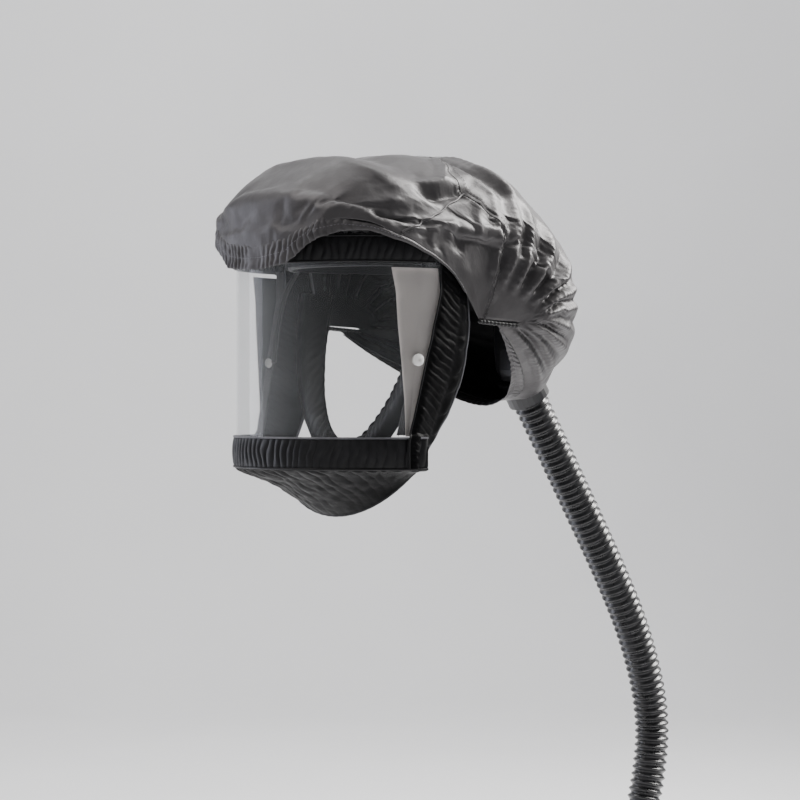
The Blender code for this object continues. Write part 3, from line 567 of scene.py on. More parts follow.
def dress(obj, finishes, body=MAIN, stands_for=(), crease=60):
    """Gives a finished mesh its materials and smooth shading, and fixes it to a body of the frame."""
    names = [finishes] if isinstance(finishes, str) else finishes
    if len(names) == 1:
        obj.data.materials.clear()
    for i, name in enumerate(names):
        if i < len(obj.data.materials):
            obj.data.materials[i] = look(name)
        else:
            obj.data.materials.append(look(name))
    obj.data.shade_smooth()
    obj.data.set_sharp_from_angle(angle=math.radians(crease))
    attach(obj, body)
    if stands_for:
        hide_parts(*([stands_for] if isinstance(stands_for, str) else stands_for))
    return obj


def joined(name, objects):
    """Joins finished parts that share their materials into one mesh."""
    work = bmesh.new()
    for obj in objects:
        work.from_mesh(obj.data)
    mesh = bpy.data.meshes.new(name)
    work.to_mesh(mesh)
    work.free()
    for obj in objects:
        bpy.data.objects.remove(obj)
    made = bpy.data.objects.new(name, mesh)
    bpy.context.scene.collection.objects.link(made)
    return made


def through(points, steps):
    """Points along a smooth curve through the given ones."""
    places = [Vector(p) for p in points]
    ends = [2 * places[0] - places[1], *places, 2 * places[-1] - places[-2]]
    made = []
    for a, b, c, d in zip(ends, ends[1:], ends[2:], ends[3:]):
        for i in range(steps):
            t = i / steps
            made.append(0.5 * (2 * b + (c - a) * t + (2 * a - 5 * b + 4 * c - d) * t**2
                               + (3 * b - a - 3 * c + d) * t**3))
    return made + [places[-1]]


def evenly(points, step):
    """The same line with points a step apart."""
    places = np.array([tuple(p) for p in points])
    run = np.concatenate([[0], np.cumsum(np.linalg.norm(np.diff(places, axis=0), axis=1))])
    count = max(2, round(run[-1] / step) + 1)
    at = np.linspace(0, run[-1], count)
    return np.stack([np.interp(at, run, places[:, i]) for i in range(3)], -1), run[-1]


def frames_along(points):
    """For each point of a line: the unit vectors across it and above it, carried along without twisting."""
    places = np.asarray(points, float)
    ahead = np.gradient(places, axis=0)
    ahead /= np.linalg.norm(ahead, axis=1)[:, None]
    start = np.array((1.0, 0, 0)) if abs(ahead[0][0]) < 0.8 else np.array((0, 0, 1.0))
    across = [np.cross(np.cross(ahead[0], start), ahead[0])]
    for direction in ahead[1:]:
        carried = across[-1] - direction * np.dot(across[-1], direction)
        across.append(carried)
    across = np.array([a / np.linalg.norm(a) for a in across])
    return across, np.cross(ahead, across)


def tube(name, points, radius, around=20, closed_ends=True):
    """A round tube along a line; radius is one number or one for each point."""
    places = np.asarray([tuple(p) for p in points], float)
    across, above = frames_along(places)
    radii = np.broadcast_to(np.asarray(radius, float), (len(places),))
    turn = np.linspace(0, 2 * math.pi, around, endpoint=False)
    ring = across[:, None, :] * np.cos(turn)[None, :, None] + above[:, None, :] * np.sin(turn)[None, :, None]
    rows = places[:, None, :] + ring * radii[:, None, None]
    if closed_ends:
        rows = np.concatenate([np.repeat(places[None, :1], around, 1), rows,
                               np.repeat(places[None, -1:], around, 1)])
    obj = grid(name, rows, closed=True)
    return weld(obj, outward=closed_ends)


def lathe(name, profile, centre, axis=(0, 0, 1), steps=48):
    """A turned piece from (radius, height) points; it is closed where the profile meets the axis."""
    turn = np.linspace(0, 2 * math.pi, steps, endpoint=False)
    rows = np.array([[(r * math.cos(a), r * math.sin(a), z) for a in turn] for r, z in profile])
    obj = grid(name, rows, closed=True)
    weld(obj, outward=True)
    return set_at(obj, centre, axis)


def set_at(obj, centre, axis=(0, 0, 1)):
    """Moves a mesh made round +Z so that it stands at the centre along the axis."""
    turn = Vector((0, 0, 1)).rotation_difference(Vector(axis)).to_matrix().to_4x4()
    obj.data.transform(Matrix.Translation(Vector(centre)) @ turn)
    return obj


def rounded_block(name, size, centre, edge):
    """A block with rounded edges."""
    work = bmesh.new()
    bmesh.ops.create_cube(work, size=1)
    bmesh.ops.scale(work, vec=size, verts=work.verts)
    bmesh.ops.bevel(work, geom=work.edges[:], offset=edge, segments=3, profile=0.6, affect="EDGES")
    mesh = bpy.data.meshes.new(name)
    work.to_mesh(mesh)
    work.free()
    obj = bpy.data.objects.new(name, mesh)
    bpy.context.scene.collection.objects.link(obj)
    obj.data.transform(Matrix.Translation(Vector(centre)))
    return obj


def ripple(points, scale, seed=0):
    """Smooth random numbers from -1 to 1 at an array of points, the same every run."""
    flat = np.asarray(points, float).reshape(-1, 3) * scale + seed * 7.31
    found = [noise.noise(Vector(p)) for p in flat]
    return np.array(found).reshape(np.shape(points)[:-1])


def grid_normals(points, away_from):
    """Unit normals of a grid of points, on the side away from the given point."""
    du, dv = np.gradient(points, axis=1), np.gradient(points, axis=0)
    normal = np.cross(du, dv)
    size = np.linalg.norm(normal, axis=2, keepdims=True)
    normal = normal / np.maximum(size, 1e-12)
    side = np.sign(np.einsum("ijk,ijk->", normal, points - np.array(away_from)))
    return normal * side


def gathers(run, pitch, seed=0, points=None):
    """Uneven gathers across a run in metres: rounded tops and tight valleys, from -1 to 1."""
    phase = np.asarray(run, float) / pitch
    if points is not None:
        phase = phase + 0.9 * ripple(points, 30, seed) + 0.35 * ripple(points, 85, seed + 3)
    wave = np.abs(np.sin(math.pi * phase))
    return 1.6 * wave**0.8 - 0.8


# ---------------------------------------------------------------- geometry nodes
def node_group(name, inputs):
    """A geometry-nodes group with a geometry in and out, and the named inputs."""
    group = bpy.data.node_groups.new(name, "GeometryNodeTree")
    group.interface.new_socket(name="Geometry", in_out="INPUT", socket_type="NodeSocketGeometry")
    for label, kind, default in inputs:
        socket = group.interface.new_socket(name=label, in_out="INPUT", socket_type=kind)
        if default is not None:
            socket.default_value = default
    group.interface.new_socket(name="Geometry", in_out="OUTPUT", socket_type="NodeSocketGeometry")
    return group, group.nodes.new("NodeGroupInput"), group.nodes.new("NodeGroupOutput")


def finish_group(group, source, start, end):
    """Ends a group in Realize Instances and Set Material."""
    links = group.links
    real = group.nodes.new("GeometryNodeRealizeInstances")
    paint = group.nodes.new("GeometryNodeSetMaterial")
    links.new(source, real.inputs["Geometry"])
    links.new(real.outputs["Geometry"], paint.inputs["Geometry"])
    links.new(start.outputs["Material"], paint.inputs["Material"])
    links.new(paint.outputs["Geometry"], end.inputs[0])
    return group


def stitch_group():
    """Stitches along the input's edges: one small capsule every pitch, laid along the line."""
    if "stitches along a line" in bpy.data.node_groups:
        return bpy.data.node_groups["stitches along a line"]
    group, start, end = node_group("stitches along a line", [
        ("Pitch", "NodeSocketFloat", 0.003), ("Length", "NodeSocketFloat", 0.002),
        ("Thickness", "NodeSocketFloat", 0.0005), ("Material", "NodeSocketMaterial", None)])
    nodes, links = group.nodes, group.links
    line = nodes.new("GeometryNodeMeshToCurve")
    spaced = nodes.new("GeometryNodeResampleCurve")
    spaced.mode = "LENGTH"
    to_points = nodes.new("GeometryNodeInstanceOnPoints")
    thread = nodes.new("GeometryNodeMeshUVSphere")
    thread.inputs["Segments"].default_value = 6
    thread.inputs["Rings"].default_value = 4
    thread.inputs["Radius"].default_value = 0.5
    turn = nodes.new("FunctionNodeAlignRotationToVector")
    turn.axis = "X"
    tangent = nodes.new("GeometryNodeInputTangent")
    size = nodes.new("ShaderNodeCombineXYZ")
    links.new(start.outputs["Geometry"], line.inputs["Mesh"])
    links.new(line.outputs["Curve"], spaced.inputs["Curve"])
    links.new(start.outputs["Pitch"], spaced.inputs["Length"])
    links.new(spaced.outputs["Curve"], to_points.inputs["Points"])
    links.new(thread.outputs["Mesh"], to_points.inputs["Instance"])
    links.new(tangent.outputs["Tangent"], turn.inputs["Vector"])
    links.new(turn.outputs["Rotation"], to_points.inputs["Rotation"])
    links.new(start.outputs["Length"], size.inputs["X"])
    links.new(start.outputs["Thickness"], size.inputs["Y"])
    links.new(start.outputs["Thickness"], size.inputs["Z"])
    links.new(size.outputs["Vector"], to_points.inputs["Scale"])
    return finish_group(group, to_points.outputs["Instances"], start, end)


def rib_group():
    """Equal ribs standing round +Z: blocks of one size, turned to face outwards."""
    if "ribs round an axis" in bpy.data.node_groups:
        return bpy.data.node_groups["ribs round an axis"]
    group, start, end = node_group("ribs round an axis", [
        ("Count", "NodeSocketInt", 24), ("Radius", "NodeSocketFloat", 0.03),
        ("Size", "NodeSocketVector", (0.001, 0.002, 0.01)), ("Material", "NodeSocketMaterial", None)])
    nodes, links = group.nodes, group.links
    circle = nodes.new("GeometryNodeCurvePrimitiveCircle")
    spaced = nodes.new("GeometryNodeResampleCurve")
    spaced.mode = "COUNT"
    place = nodes.new("GeometryNodeInstanceOnPoints")
    block = nodes.new("GeometryNodeMeshUVSphere")  # a rounded rib: a stretched ball with few faces
    block.inputs["Segments"].default_value = 8
    block.inputs["Rings"].default_value = 5
    block.inputs["Radius"].default_value = 0.5
    turn = nodes.new("FunctionNodeAlignRotationToVector")
    turn.axis = "X"
    position = nodes.new("GeometryNodeInputPosition")
    links.new(start.outputs["Radius"], circle.inputs["Radius"])
    links.new(circle.outputs["Curve"], spaced.inputs["Curve"])
    links.new(start.outputs["Count"], spaced.inputs["Count"])
    links.new(spaced.outputs["Curve"], place.inputs["Points"])
    links.new(block.outputs["Mesh"], place.inputs["Instance"])
    links.new(position.outputs["Position"], turn.inputs["Vector"])
    links.new(turn.outputs["Rotation"], place.inputs["Rotation"])
    links.new(start.outputs["Size"], place.inputs["Scale"])
    return finish_group(group, place.outputs["Instances"], start, end)


def disc_group():
    """Small round discs standing on the input's vertices along +Z: screw heads, studs and holes."""
    if "discs on points" in bpy.data.node_groups:
        return bpy.data.node_groups["discs on points"]
    group, start, end = node_group("discs on points", [
        ("Radius", "NodeSocketFloat", 0.002), ("Height", "NodeSocketFloat", 0.0005),
        ("Crown", "NodeSocketFloat", 0.8), ("Material", "NodeSocketMaterial", None)])
    nodes, links = group.nodes, group.links
    place = nodes.new("GeometryNodeInstanceOnPoints")
    body = nodes.new("GeometryNodeMeshCone")
    body.inputs["Vertices"].default_value = 12
    top = nodes.new("ShaderNodeMath")
    top.operation = "MULTIPLY"
    links.new(start.outputs["Radius"], top.inputs[0])
    links.new(start.outputs["Crown"], top.inputs[1])
    links.new(top.outputs[0], body.inputs["Radius Top"])
    links.new(start.outputs["Radius"], body.inputs["Radius Bottom"])
    links.new(start.outputs["Height"], body.inputs["Depth"])
    links.new(start.outputs["Geometry"], place.inputs["Points"])
    links.new(body.outputs["Mesh"], place.inputs["Instance"])
    return finish_group(group, place.outputs["Instances"], start, end)


def grown(name, group, points, edges=(), **values):
    """Runs a node group on a few points or a line and returns the plain mesh that it makes."""
    obj = add(name, points, [])
    if len(edges):
        obj.data.clear_geometry()
        obj.data.from_pydata([tuple(p) for p in points], [tuple(e) for e in edges], [])
    modifier = obj.modifiers.new("Grown", "NODES")
    modifier.node_group = group
    named = {item.name: item.identifier for item in group.interface.items_tree if item.in_out == "INPUT"}
    for label, value in values.items():
        modifier[named[label]] = value
    return baked(obj)


def stitches(name, points, finish, pitch=0.0034, length=0.0023, thick=0.00045, body=MAIN):
    line = [tuple(p) for p in points]
    edges = [(i, i + 1) for i in range(len(line) - 1)]
    obj = grown(name, stitch_group(), line, edges, Pitch=pitch, Length=length, Thickness=thick,
                Material=look(finish))
    return dress(obj, finish, body)


def ribs(name, finish, count, radius, size, centre, axis=(0, 0, 1), body=MAIN):
    obj = grown(name, rib_group(), [(0, 0, 0)], Count=count, Radius=radius, Size=size, Material=look(finish))
    set_at(obj, centre, axis)
    return dress(obj, finish, body)


def discs(name, finish, points, radius, height, axis=(0, 0, 1), centre=(0, 0, 0), crown=0.8, body=MAIN):
    """Discs on points given round the origin in the XY plane, then set at the centre along the axis."""
    obj = grown(name, disc_group(), points, Radius=radius, Height=height, Crown=crown, Material=look(finish))
    set_at(obj, centre, axis)
    return dress(obj, finish, body)


# ---------------------------------------------------------------- hood surface
def from_ear(turn):
    """The turn along an arch, counted from the nearer ear."""
    return np.minimum(turn, math.pi - turn)


def arch_height(angle):
    heights = np.full(np.shape(angle), ARCHES[0][1])
    for (a0, r0), (a1, r1) in zip(ARCHES, ARCHES[1:]):
        heights = heights + (r1 - r0) * smoothstep(a0, a1, angle)
    return heights


def brim_angle(turn):
    return np.interp(np.degrees(from_ear(turn)), *zip(*BRIM_LINE))


def seam_angle(turn):
    return np.interp(np.degrees(from_ear(turn)), *zip(*SEAM_LINE))


def hood_points(angle, turn):
    """Points on the hood: the arch's angle in degrees, and the turn along the arch from the left ear over."""
    angle, turn = np.broadcast_arrays(np.asarray(angle, float), np.asarray(turn, float))
    low = smoothstep(150, 208, angle)
    back = EAR_GATHER * smoothstep(95, 165, angle) * (1 - 0.6 * smoothstep(175, 205,
                                                                           angle)) * (1 - np.sin(turn))
    side = np.cos(turn)
    width = EAR.x + 0.018 * np.sin(2 * from_ear(turn)) * (1 - 1.3 * low)
    x = width * np.copysign(np.abs(side) ** (0.6 + 0.6 * low), side)
    out = arch_height(angle) * np.maximum(np.sin(turn), 0) ** (0.8 + 0.45 * low)
    around = np.radians(angle)
    return np.stack([x, EAR.y + back - out * np.cos(around), EAR.z + out * np.sin(around)], -1)


def fold(points, path, half_width, height, sharp=1.5, spread_out=0.6):
    """Height of one fold over a grid: a ridge, or a valley if negative, along a path of (angle, turn)
    in degrees. It fades at both ends and widens along its way."""
    angles, turns = zip(*path)
    at = np.linspace(0, 1, 22)
    stops = np.linspace(0, 1, len(path))
    line = hood_points(np.interp(at, stops, angles), np.radians(np.interp(at, stops, turns)))
    flat = points.reshape(-1, 3)
    apart = np.linalg.norm(flat[:, None, :] - line[None, :, :], axis=2)
    nearest = apart.argmin(1)
    share = at[nearest]
    width = half_width * (1 + spread_out * (share - 0.35))
    rise = np.clip(1 - apart.min(1) / width, 0, 1) ** sharp
    taper = smoothstep(0, 0.18, share) * (1 - smoothstep(0.55, 1.0, share)) + 0.12 * (share > 0.02)
    return (height * rise * taper).reshape(points.shape[:2])


EAR_FOLDS = [  # path of (angle, turn), half width and height in millimetres: folds fan out from each ear
    ([(101, 8), (99, 30), (97, 58)], 9, 4.0), ([(113, 7), (113, 30), (108, 60)], 9, 6.0),
    ([(124, 7), (122, 30), (116, 58)], 9, 6.5), ([(135, 7), (136, 30), (131, 56)], 9, 6.5),
    ([(146, 7), (150, 30), (149, 54)], 8, 7.0), ([(156, 7), (160, 30), (163, 56)], 8, 7.0),
    ([(165, 7), (170, 30), (174, 60)], 8, 6.5), ([(173, 7), (180, 30), (183, 58)], 8, 6.0),
    ([(181, 7), (187, 30), (190, 62)], 7, 6.0), ([(188, 7), (194, 32), (198, 64)], 7, 5.5),
    ([(196, 7), (201, 36), (204, 66)], 6, 5.0),
]
EAR_VALLEYS = [
    ([(107, 10), (107, 28), (104, 46)], 6, -4.0), ([(129, 9), (130, 27), (126, 44)], 6, -5.0),
    ([(140, 9), (144, 26), (142, 44)], 5, -5.5), ([(151, 9), (155, 27), (157, 46)], 5, -6.0),
    ([(161, 9), (165, 26), (169, 46)], 5, -5.0), ([(177, 9), (184, 28), (187, 52)], 5, -5.0),
    ([(192, 9), (197, 30), (201, 54)], 5, -4.5),
]
CROWN_FOLDS = [
    ([(58, 47), (68, 43), (80, 44), (86, 48)], 11, -7.5), ([(62, 52), (72, 50), (84, 52)], 9, 4.0),
    ([(37, 47), (42, 39), (50, 34)], 9, -6.0), ([(36, 56), (44, 46), (54, 42)], 9, 3.5),
    ([(90, 80), (94, 64), (101, 50), (110, 42)], 10, -6.5), ([(96, 84), (101, 66), (108, 52), (118, 44)], 8,
                                                             5.5),
    ([(104, 84), (109, 68), (116, 56)], 8, -5.0), ([(112, 88), (118, 72), (126, 60)], 8, 4.5),
    ([(86, 74), (82, 60), (72, 47)], 8, 3.5), ([(24, 70), (33, 62), (44, 60)], 14, 2.5),
    ([(80, 22), (88, 34), (94, 46)], 9, 3.0), ([(62, 18), (66, 26), (76, 36)], 9, -3.0),
    ([(122, 70), (130, 76), (138, 88)], 9, -4.0), ([(140, 72), (150, 78), (160, 88)], 10, 4.0),
]


def folded(points, settings):
    """Moves the hood's grid along its normals by its folds and ripples. Both sides differ a little."""
    normal = grid_normals(points, (0, 0.02, -0.04))
    lift = np.zeros(points.shape[:2])
    chance = random.Random(11)
    for left in (True, False):
        for path, width, height in EAR_FOLDS + EAR_VALLEYS + CROWN_FOLDS:
            shift, scale = (0, 1.0) if left else (chance.uniform(-3, 3), chance.uniform(0.75, 1.15))
            way = [(a + shift, t if left else 180 - t) for a, t in path]
            lift += fold(points, way, width / 1000, height / 1000 * scale) * settings.fold_height
    lift += 0.0016 * ripple(points, 26, 5) + 0.0007 * ripple(points, 70, 9) - 0.0012
    return points + normal * lift[..., None]


def cloth_settled(obj, held, frames, pressure, spare, reach):
    """Lets a fabric mesh settle under air pressure. held is each vertex's hold, from 0, free, to 1, pinned;
    spare is the extra fabric; no point moves further than reach. Nothing random: the same mesh every run."""
    start = np.array([v.co for v in obj.data.vertices])
    group = obj.vertex_groups.new(name="held")
    for i, hold in enumerate(held):
        group.add([i], float(hold), "REPLACE")
    cloth = obj.modifiers.new("Settle", "CLOTH")
    fabric = cloth.settings
    fabric.quality = 6
    fabric.mass = 0.12
    fabric.air_damping = 2.0
    fabric.tension_stiffness = fabric.compression_stiffness = 16
    fabric.shear_stiffness = 6
    fabric.bending_stiffness = 0.08
    fabric.tension_damping = fabric.compression_damping = fabric.shear_damping = 8
    fabric.vertex_group_mass = "held"
    fabric.use_pressure = True
    fabric.uniform_pressure_force = pressure
    fabric.shrink_min = -spare
    fabric.effector_weights.gravity = 0.15
    cloth.collision_settings.use_collision = False
    cloth.collision_settings.use_self_collision = False
    cloth.point_cache.frame_start, cloth.point_cache.frame_end = 1, frames
    scene = bpy.context.scene
    for number in range(1, frames + 1):
        scene.frame_set(number)
    baked(obj)
    scene.frame_set(1)
    obj.vertex_groups.clear()
    moved = np.array([v.co for v in obj.data.vertices]) - start
    size = np.linalg.norm(moved, axis=1, keepdims=True)
    limited = start + moved * (reach * np.tanh(size / reach) / np.maximum(size, 1e-9))
    obj.data.vertices.foreach_set("co", limited.astype(np.float32).reshape(-1))
    obj.data.update()
    return limited


def around_visor(radius, angle, z):
    angle, z = np.broadcast_arrays(np.asarray(angle, float), np.asarray(z, float))
    return np.stack([radius * np.sin(angle), LENS_CENTRE_Y - radius * np.cos(angle), z], -1)


def rear_angle(z):
    share = np.clip((SIDE_SPLIT_Z - np.asarray(z, float)) / (SIDE_SPLIT_Z - LENS_BOTTOM), 0, 1)
    return REAR_ANGLE_TOP + (REAR_ANGLE_BOTTOM - REAR_ANGLE_TOP) * share


# ---------------------------------------------------------------- stage and hose, which come first
class RESPIRATOR_OT_stage(Operator):
    """Makes the camera, the softboxes, the pale floor and the backdrop."""
    bl_idname = "respirator.stage"
    bl_label = "Stage"

    def execute(self, context):
        settings = context.scene.respirator_stage
        aim = CAMERA_AIM
        towards = Vector((math.sin(settings.azimuth), -math.cos(settings.azimuth), 0))
        right = Vector((math.cos(settings.azimuth), math.sin(settings.azimuth), 0))
        lens = bpy.data.cameras.new("camera")
        lens.lens, lens.sensor_width = settings.lens, 36
        camera = bpy.data.objects.new("camera", lens)
        context.scene.collection.objects.link(camera)
        camera.location = aim + towards * settings.distance
        camera.rotation_euler = (-towards).to_track_quat("-Z", "Y").to_euler()
        context.scene.camera = camera
        boxes = [  # name, place (right, towards the camera, up), size, power, colour
            ("softbox behind", (1.10, -0.50, 0.95), (0.7, 1.1), settings.key, (1.0, 0.985, 0.96)),
            ("softbox over brim", (-0.75, 0.35, 1.25), (1.3, 1.3), settings.top, (1.0, 0.97, 0.95)),
            ("softbox far side", (-1.5, -0.5, 0.1), (0.6, 1.4), settings.top * 0.55, (0.86, 0.88, 1.0)),
            ("low fill", (0.2, 1.9, 0.2), (1.6, 1.6), settings.top * 0.11, (1, 1, 1)),
            ("backdrop wash", (-0.4, -1.2, 2.2), (2.4, 0.8), settings.top * 3.7, (1, 1, 1)),
        ]
        for name, (side, near, up), (wide, high), power, colour in boxes:
            light = bpy.data.lights.new(name, "AREA")
            light.shape, light.size, light.size_y = "RECTANGLE", wide, high
            light.energy, light.color = power, colour
            lamp = bpy.data.objects.new(name, light)
            lamp.location = aim + right * side + towards * near + Vector((0, 0, up))
            spot = aim - towards * 3.0 if name == "backdrop wash" else aim
            lamp.rotation_euler = (spot - lamp.location).to_track_quat("-Z", "Y").to_euler()
            context.scene.collection.objects.link(lamp)
        world = bpy.data.worlds.new("studio air")
        world.use_nodes = True
        world.node_tree.nodes["Background"].inputs["Color"].default_value = (0.86, 0.87, 0.90, 1)
        world.node_tree.nodes["Background"].inputs["Strength"].default_value = 0.22
        context.scene.world = world
        self.floor(towards)
        return {"FINISHED"}

    def floor(self, towards):
        """A floor that curves up into a backdrop behind the object."""
        low = CAD_BOX[0][2] - 0.001
        turned = math.atan2(towards.x, -towards.y)
        profile = [(-3.2, 0.0), (2.6, 0.0)]
        profile += [(2.6 + 0.9 * math.sin(a), 0.9 - 0.9 * math.cos(a)) for a in spread(0.12, math.pi / 2, 12)]
        profile.append((3.5, 4.0))
        rows = np.array([[(x, y, low + z) for x in spread(-4.5, 4.5, 13)] for y, z in profile])
        sheet = grid("floor_and_backdrop", rows, outward=(0, 0, 40))
        weld(sheet)
        sheet.data.flip_normals()
        sheet.data.transform(Matrix.Rotation(turned, 4, "Z"))
        made = Finish("studio paper", 0.85)
        made.colours(made.noise(2.5, 3), (0.3, (0.84, 0.84, 0.85)), (0.7, (0.87, 0.87, 0.88)))
        made.bump(made.noise(160, 3), 0.0004, 0.2)
        sheet.data.materials.append(made.material)
        sheet.data.shade_smooth()


class RESPIRATOR_OT_hose(Operator):
    """Makes the corrugated breathing hose and its two rubber cuffs."""
    bl_idname = "respirator.hose"
    bl_label = "Breathing hose"

    def execute(self, context):
        settings = context.scene.respirator_hose
        rings_per_rib = 8
        route, run = evenly(through([(0, y, z) for y, z in HOSE_ROUTE], 12),
                            settings.rib_pitch / rings_per_rib)
        at = np.linspace(0, run, len(route))
        groove = 0.5 - 0.5 * np.cos(2 * math.pi * at / settings.rib_pitch)
        plain = np.maximum(1 - smoothstep(0, 0.004, at), smoothstep(run - 0.004, run, at))
        radius = settings.outer_radius - settings.rib_depth * np.maximum(groove**0.85, plain)
        hose = dress(tube("corrugated_hose", route, radius, 32), "hose rubber", stands_for="breathing_hose",
                     crease=80)
        upper = lathe("upper_cuff", [(0.0131, 0.0003), (0.0168, 0.0003), (0.0170, -0.0004), (0.0170, -0.0240),
                                     (0.0166, -0.0244), (0.0131, -0.0244), (0.0131, 0.0003)],
                      COLLAR_POINT, HOSE_DIRECTION)
        dress(upper, "cuff rubber", stands_for="hose_upper_cuff")
        top = HOSE_ROUTE[-1][1] - 0.0003
        beads = []
        for i in range(3):
            z = -0.5860 - i * 0.0085
            beads += [(0.0181, z + 0.0012), (0.0190, z), (0.0181, z - 0.0012)]
        lower = lathe("lower_cuff", [(0.0131, top), (0.0176, top), (0.0181, top - 0.0006), *beads,
                                     (0.0184, -0.6160), (0.0154, -0.6160), (0.0154, -0.5950),
                                     (0.0131, -0.5945),
                                     (0.0131, top)], (0, 0.300, 0))
        dress(lower, "cuff rubber", stands_for="hose_lower_cuff")
        for name, finish in (("hose_inlet_collar", "black plastic"), ("hose_lock_ring", "black plastic")):
            paint(name, finish)
        ribs("lock_ring_grips", "black plastic", 30, 0.0226, (0.0012, 0.0024, 0.0100), (0, 0.300, -0.6120),
             body="lock_ring")
        return {"FINISHED"}


def paint(node, finish):
    """Gives a CAD node that stays in view a detailed finish."""
    slots = NODES[node].data.materials
    slots.clear()
    slots.append(look(finish))


# ---------------------------------------------------------------- hood
class RESPIRATOR_OT_hood(Operator):
    """Makes the hood's crown and rear panels as one settled cloth, with its seams, hems and ear gathers."""
    bl_idname = "respirator.hood"
    bl_label = "Hood"
    columns, crown_rows, rear_rows = 151, 64, 80

    def execute(self, context):
        settings = context.scene.respirator_hood
        turn = spread(math.radians(0.4), math.pi - math.radians(0.4), self.columns)
        casing = smoothstep(math.radians(40), math.radians(75), from_ear(turn))
        low, seam = brim_angle(turn) - 2.8 + 2.2 * casing, seam_angle(turn)
        end = np.full_like(turn, NAPE_START + 1.2)
        crown = low + (seam - low) * spread(0, 1, self.crown_rows)[:, None]
        rear = seam + (end - seam) * spread(0, 1, self.rear_rows + 1)[1:, None]
        points = folded(hood_points(np.concatenate([crown, rear]), turn[None, :]), settings)
        points = self.pucker(points)
        points = self.settle(points, turn, settings)
        cut = self.crown_rows
        half = slice(0, cut), slice(cut - 1, None)
        made = {}
        for name, rows, node in (("hood_crown", half[0], "crown_panel"),
                                 ("hood_rear", half[1], "rear_panel")):
            cloth = grid(name, points[rows], outward=(0, 0.02, -0.04))
            thicken(cloth, settings.thickness, finer=1, inside=1)
            # the inner shell gets the near-black inside finish, a painted shade
            made[name] = dress(cloth, ("hood nylon", "hood inside painted dark"), stands_for=node,
                               crease=180)
        wide = lengths(hood_points(np.full_like(turn, 88.0)[None], turn[None]), 1)[0]
        self.seams(points, cut, made["hood_crown"])
        self.hems(settings)
        self.ear_gathers()
        return {"FINISHED"}

    @staticmethod
    def area(points):
        return float(np.linalg.norm(np.cross(np.diff(points[:, :-1], axis=0), np.diff(points[:-1], axis=1)),
                                    axis=2).sum())

    def pucker(self, points):
        """Draws the fabric in along the seam, with small puckers on both sides of it."""
        rows = np.abs(np.arange(len(points)) - (self.crown_rows - 1))[:, None]
        normal = grid_normals(points, (0, 0.02, -0.04))
        run = lengths(points, 1)
        near = np.exp(-(rows / 1.2) ** 2) * -0.0011
        small = np.exp(-(rows / 4.5) ** 2) * 0.0009 * gathers(run, 0.016, 4, points)
        return points + normal * (near + small)[..., None]

    def settle(self, points, turn, settings):
        rows = len(points)
        from_edge = np.minimum(np.arange(rows), rows - 1 - np.arange(rows))[:, None]
        edge = 1 - smoothstep(1, 7, from_edge)
        ears = 1 - smoothstep(math.radians(11), math.radians(26), from_ear(turn))[None, :]
        collar = 1 - smoothstep(0.023, 0.036, np.linalg.norm(points - np.array(COLLAR_POINT), axis=2))
        held = np.maximum(np.maximum(edge, ears), np.maximum(collar, 0.035)).reshape(-1)
        cloth = grid("settling_cloth", points, outward=(0, 0.02, -0.04))
        moved = cloth_settled(cloth, held, settings.settle_frames, settings.pressure, 0.022, 0.008)
        bpy.data.objects.remove(cloth)
        moved = moved.reshape(points.shape) - points
        drift = self.broad(moved)
        return points + moved - 0.92 * drift  # keeps the new folds, but not the drift of the whole shape

    @staticmethod
    def broad(moved, rounds=90):
        """The slow part of a movement over the grid, with the folds taken out."""
        for _ in range(rounds):
            for axis in (0, 1):
                ends = [(1, 1) if i == axis else (0, 0) for i in range(3)]
                wide = np.pad(moved, ends, mode="edge")
                before, after = (wide[:-2], wide[2:]) if axis == 0 else (wide[:, :-2], wide[:, 2:])
                moved = (before + 2 * moved + after) / 4
        return moved

    def seams(self, points, cut, crown):
        """Taped seams: between crown and rear panels, and from it down to the hem on each side."""
        normal = grid_normals(points, (0, 0.02, -0.04))
        tape = points[cut - 2:cut + 1] + normal[cut - 2:cut + 1] * np.array([0.0003, 0.0008, 0.0003])[:, None,
                                                                                                      None]
        strip = grid("seam_tape", tape, outward=(0, 0.02, -0.04))
        dress(thicken(strip, 0.0004, 0, finer=1), "hem nylon")
        for name, row in (("front", cut - 3), ("rear", cut + 1)):
            line, _ = evenly(points[row] + normal[row] * 0.0005, 0.0015)
            stitches(f"seam_stitches_{name}", line, "seam thread")
        surface = BVHTree.FromObject(crown, bpy.context.evaluated_depsgraph_get())
        for side, name in ((1, "left"), (-1, "right")):
            path = []
            for degrees, angle, _ in through([(*stop, 0) for stop in SIDE_SEAM], 15):
                turn = math.radians(degrees if side > 0 else 180 - degrees)
                spot, facing, _, _ = surface.find_nearest(Vector(hood_points(angle, turn)))
                path.append(spot + facing * 0.0004)
            line, _ = evenly(through(path[::3], 4), 0.002)
            dress(tube(f"side_seam_{name}", line, 0.0009, 8), "hem nylon")
            stitches(f"side_seam_stitches_{name}", line + np.array((0, 0, -0.0022)), "seam thread")

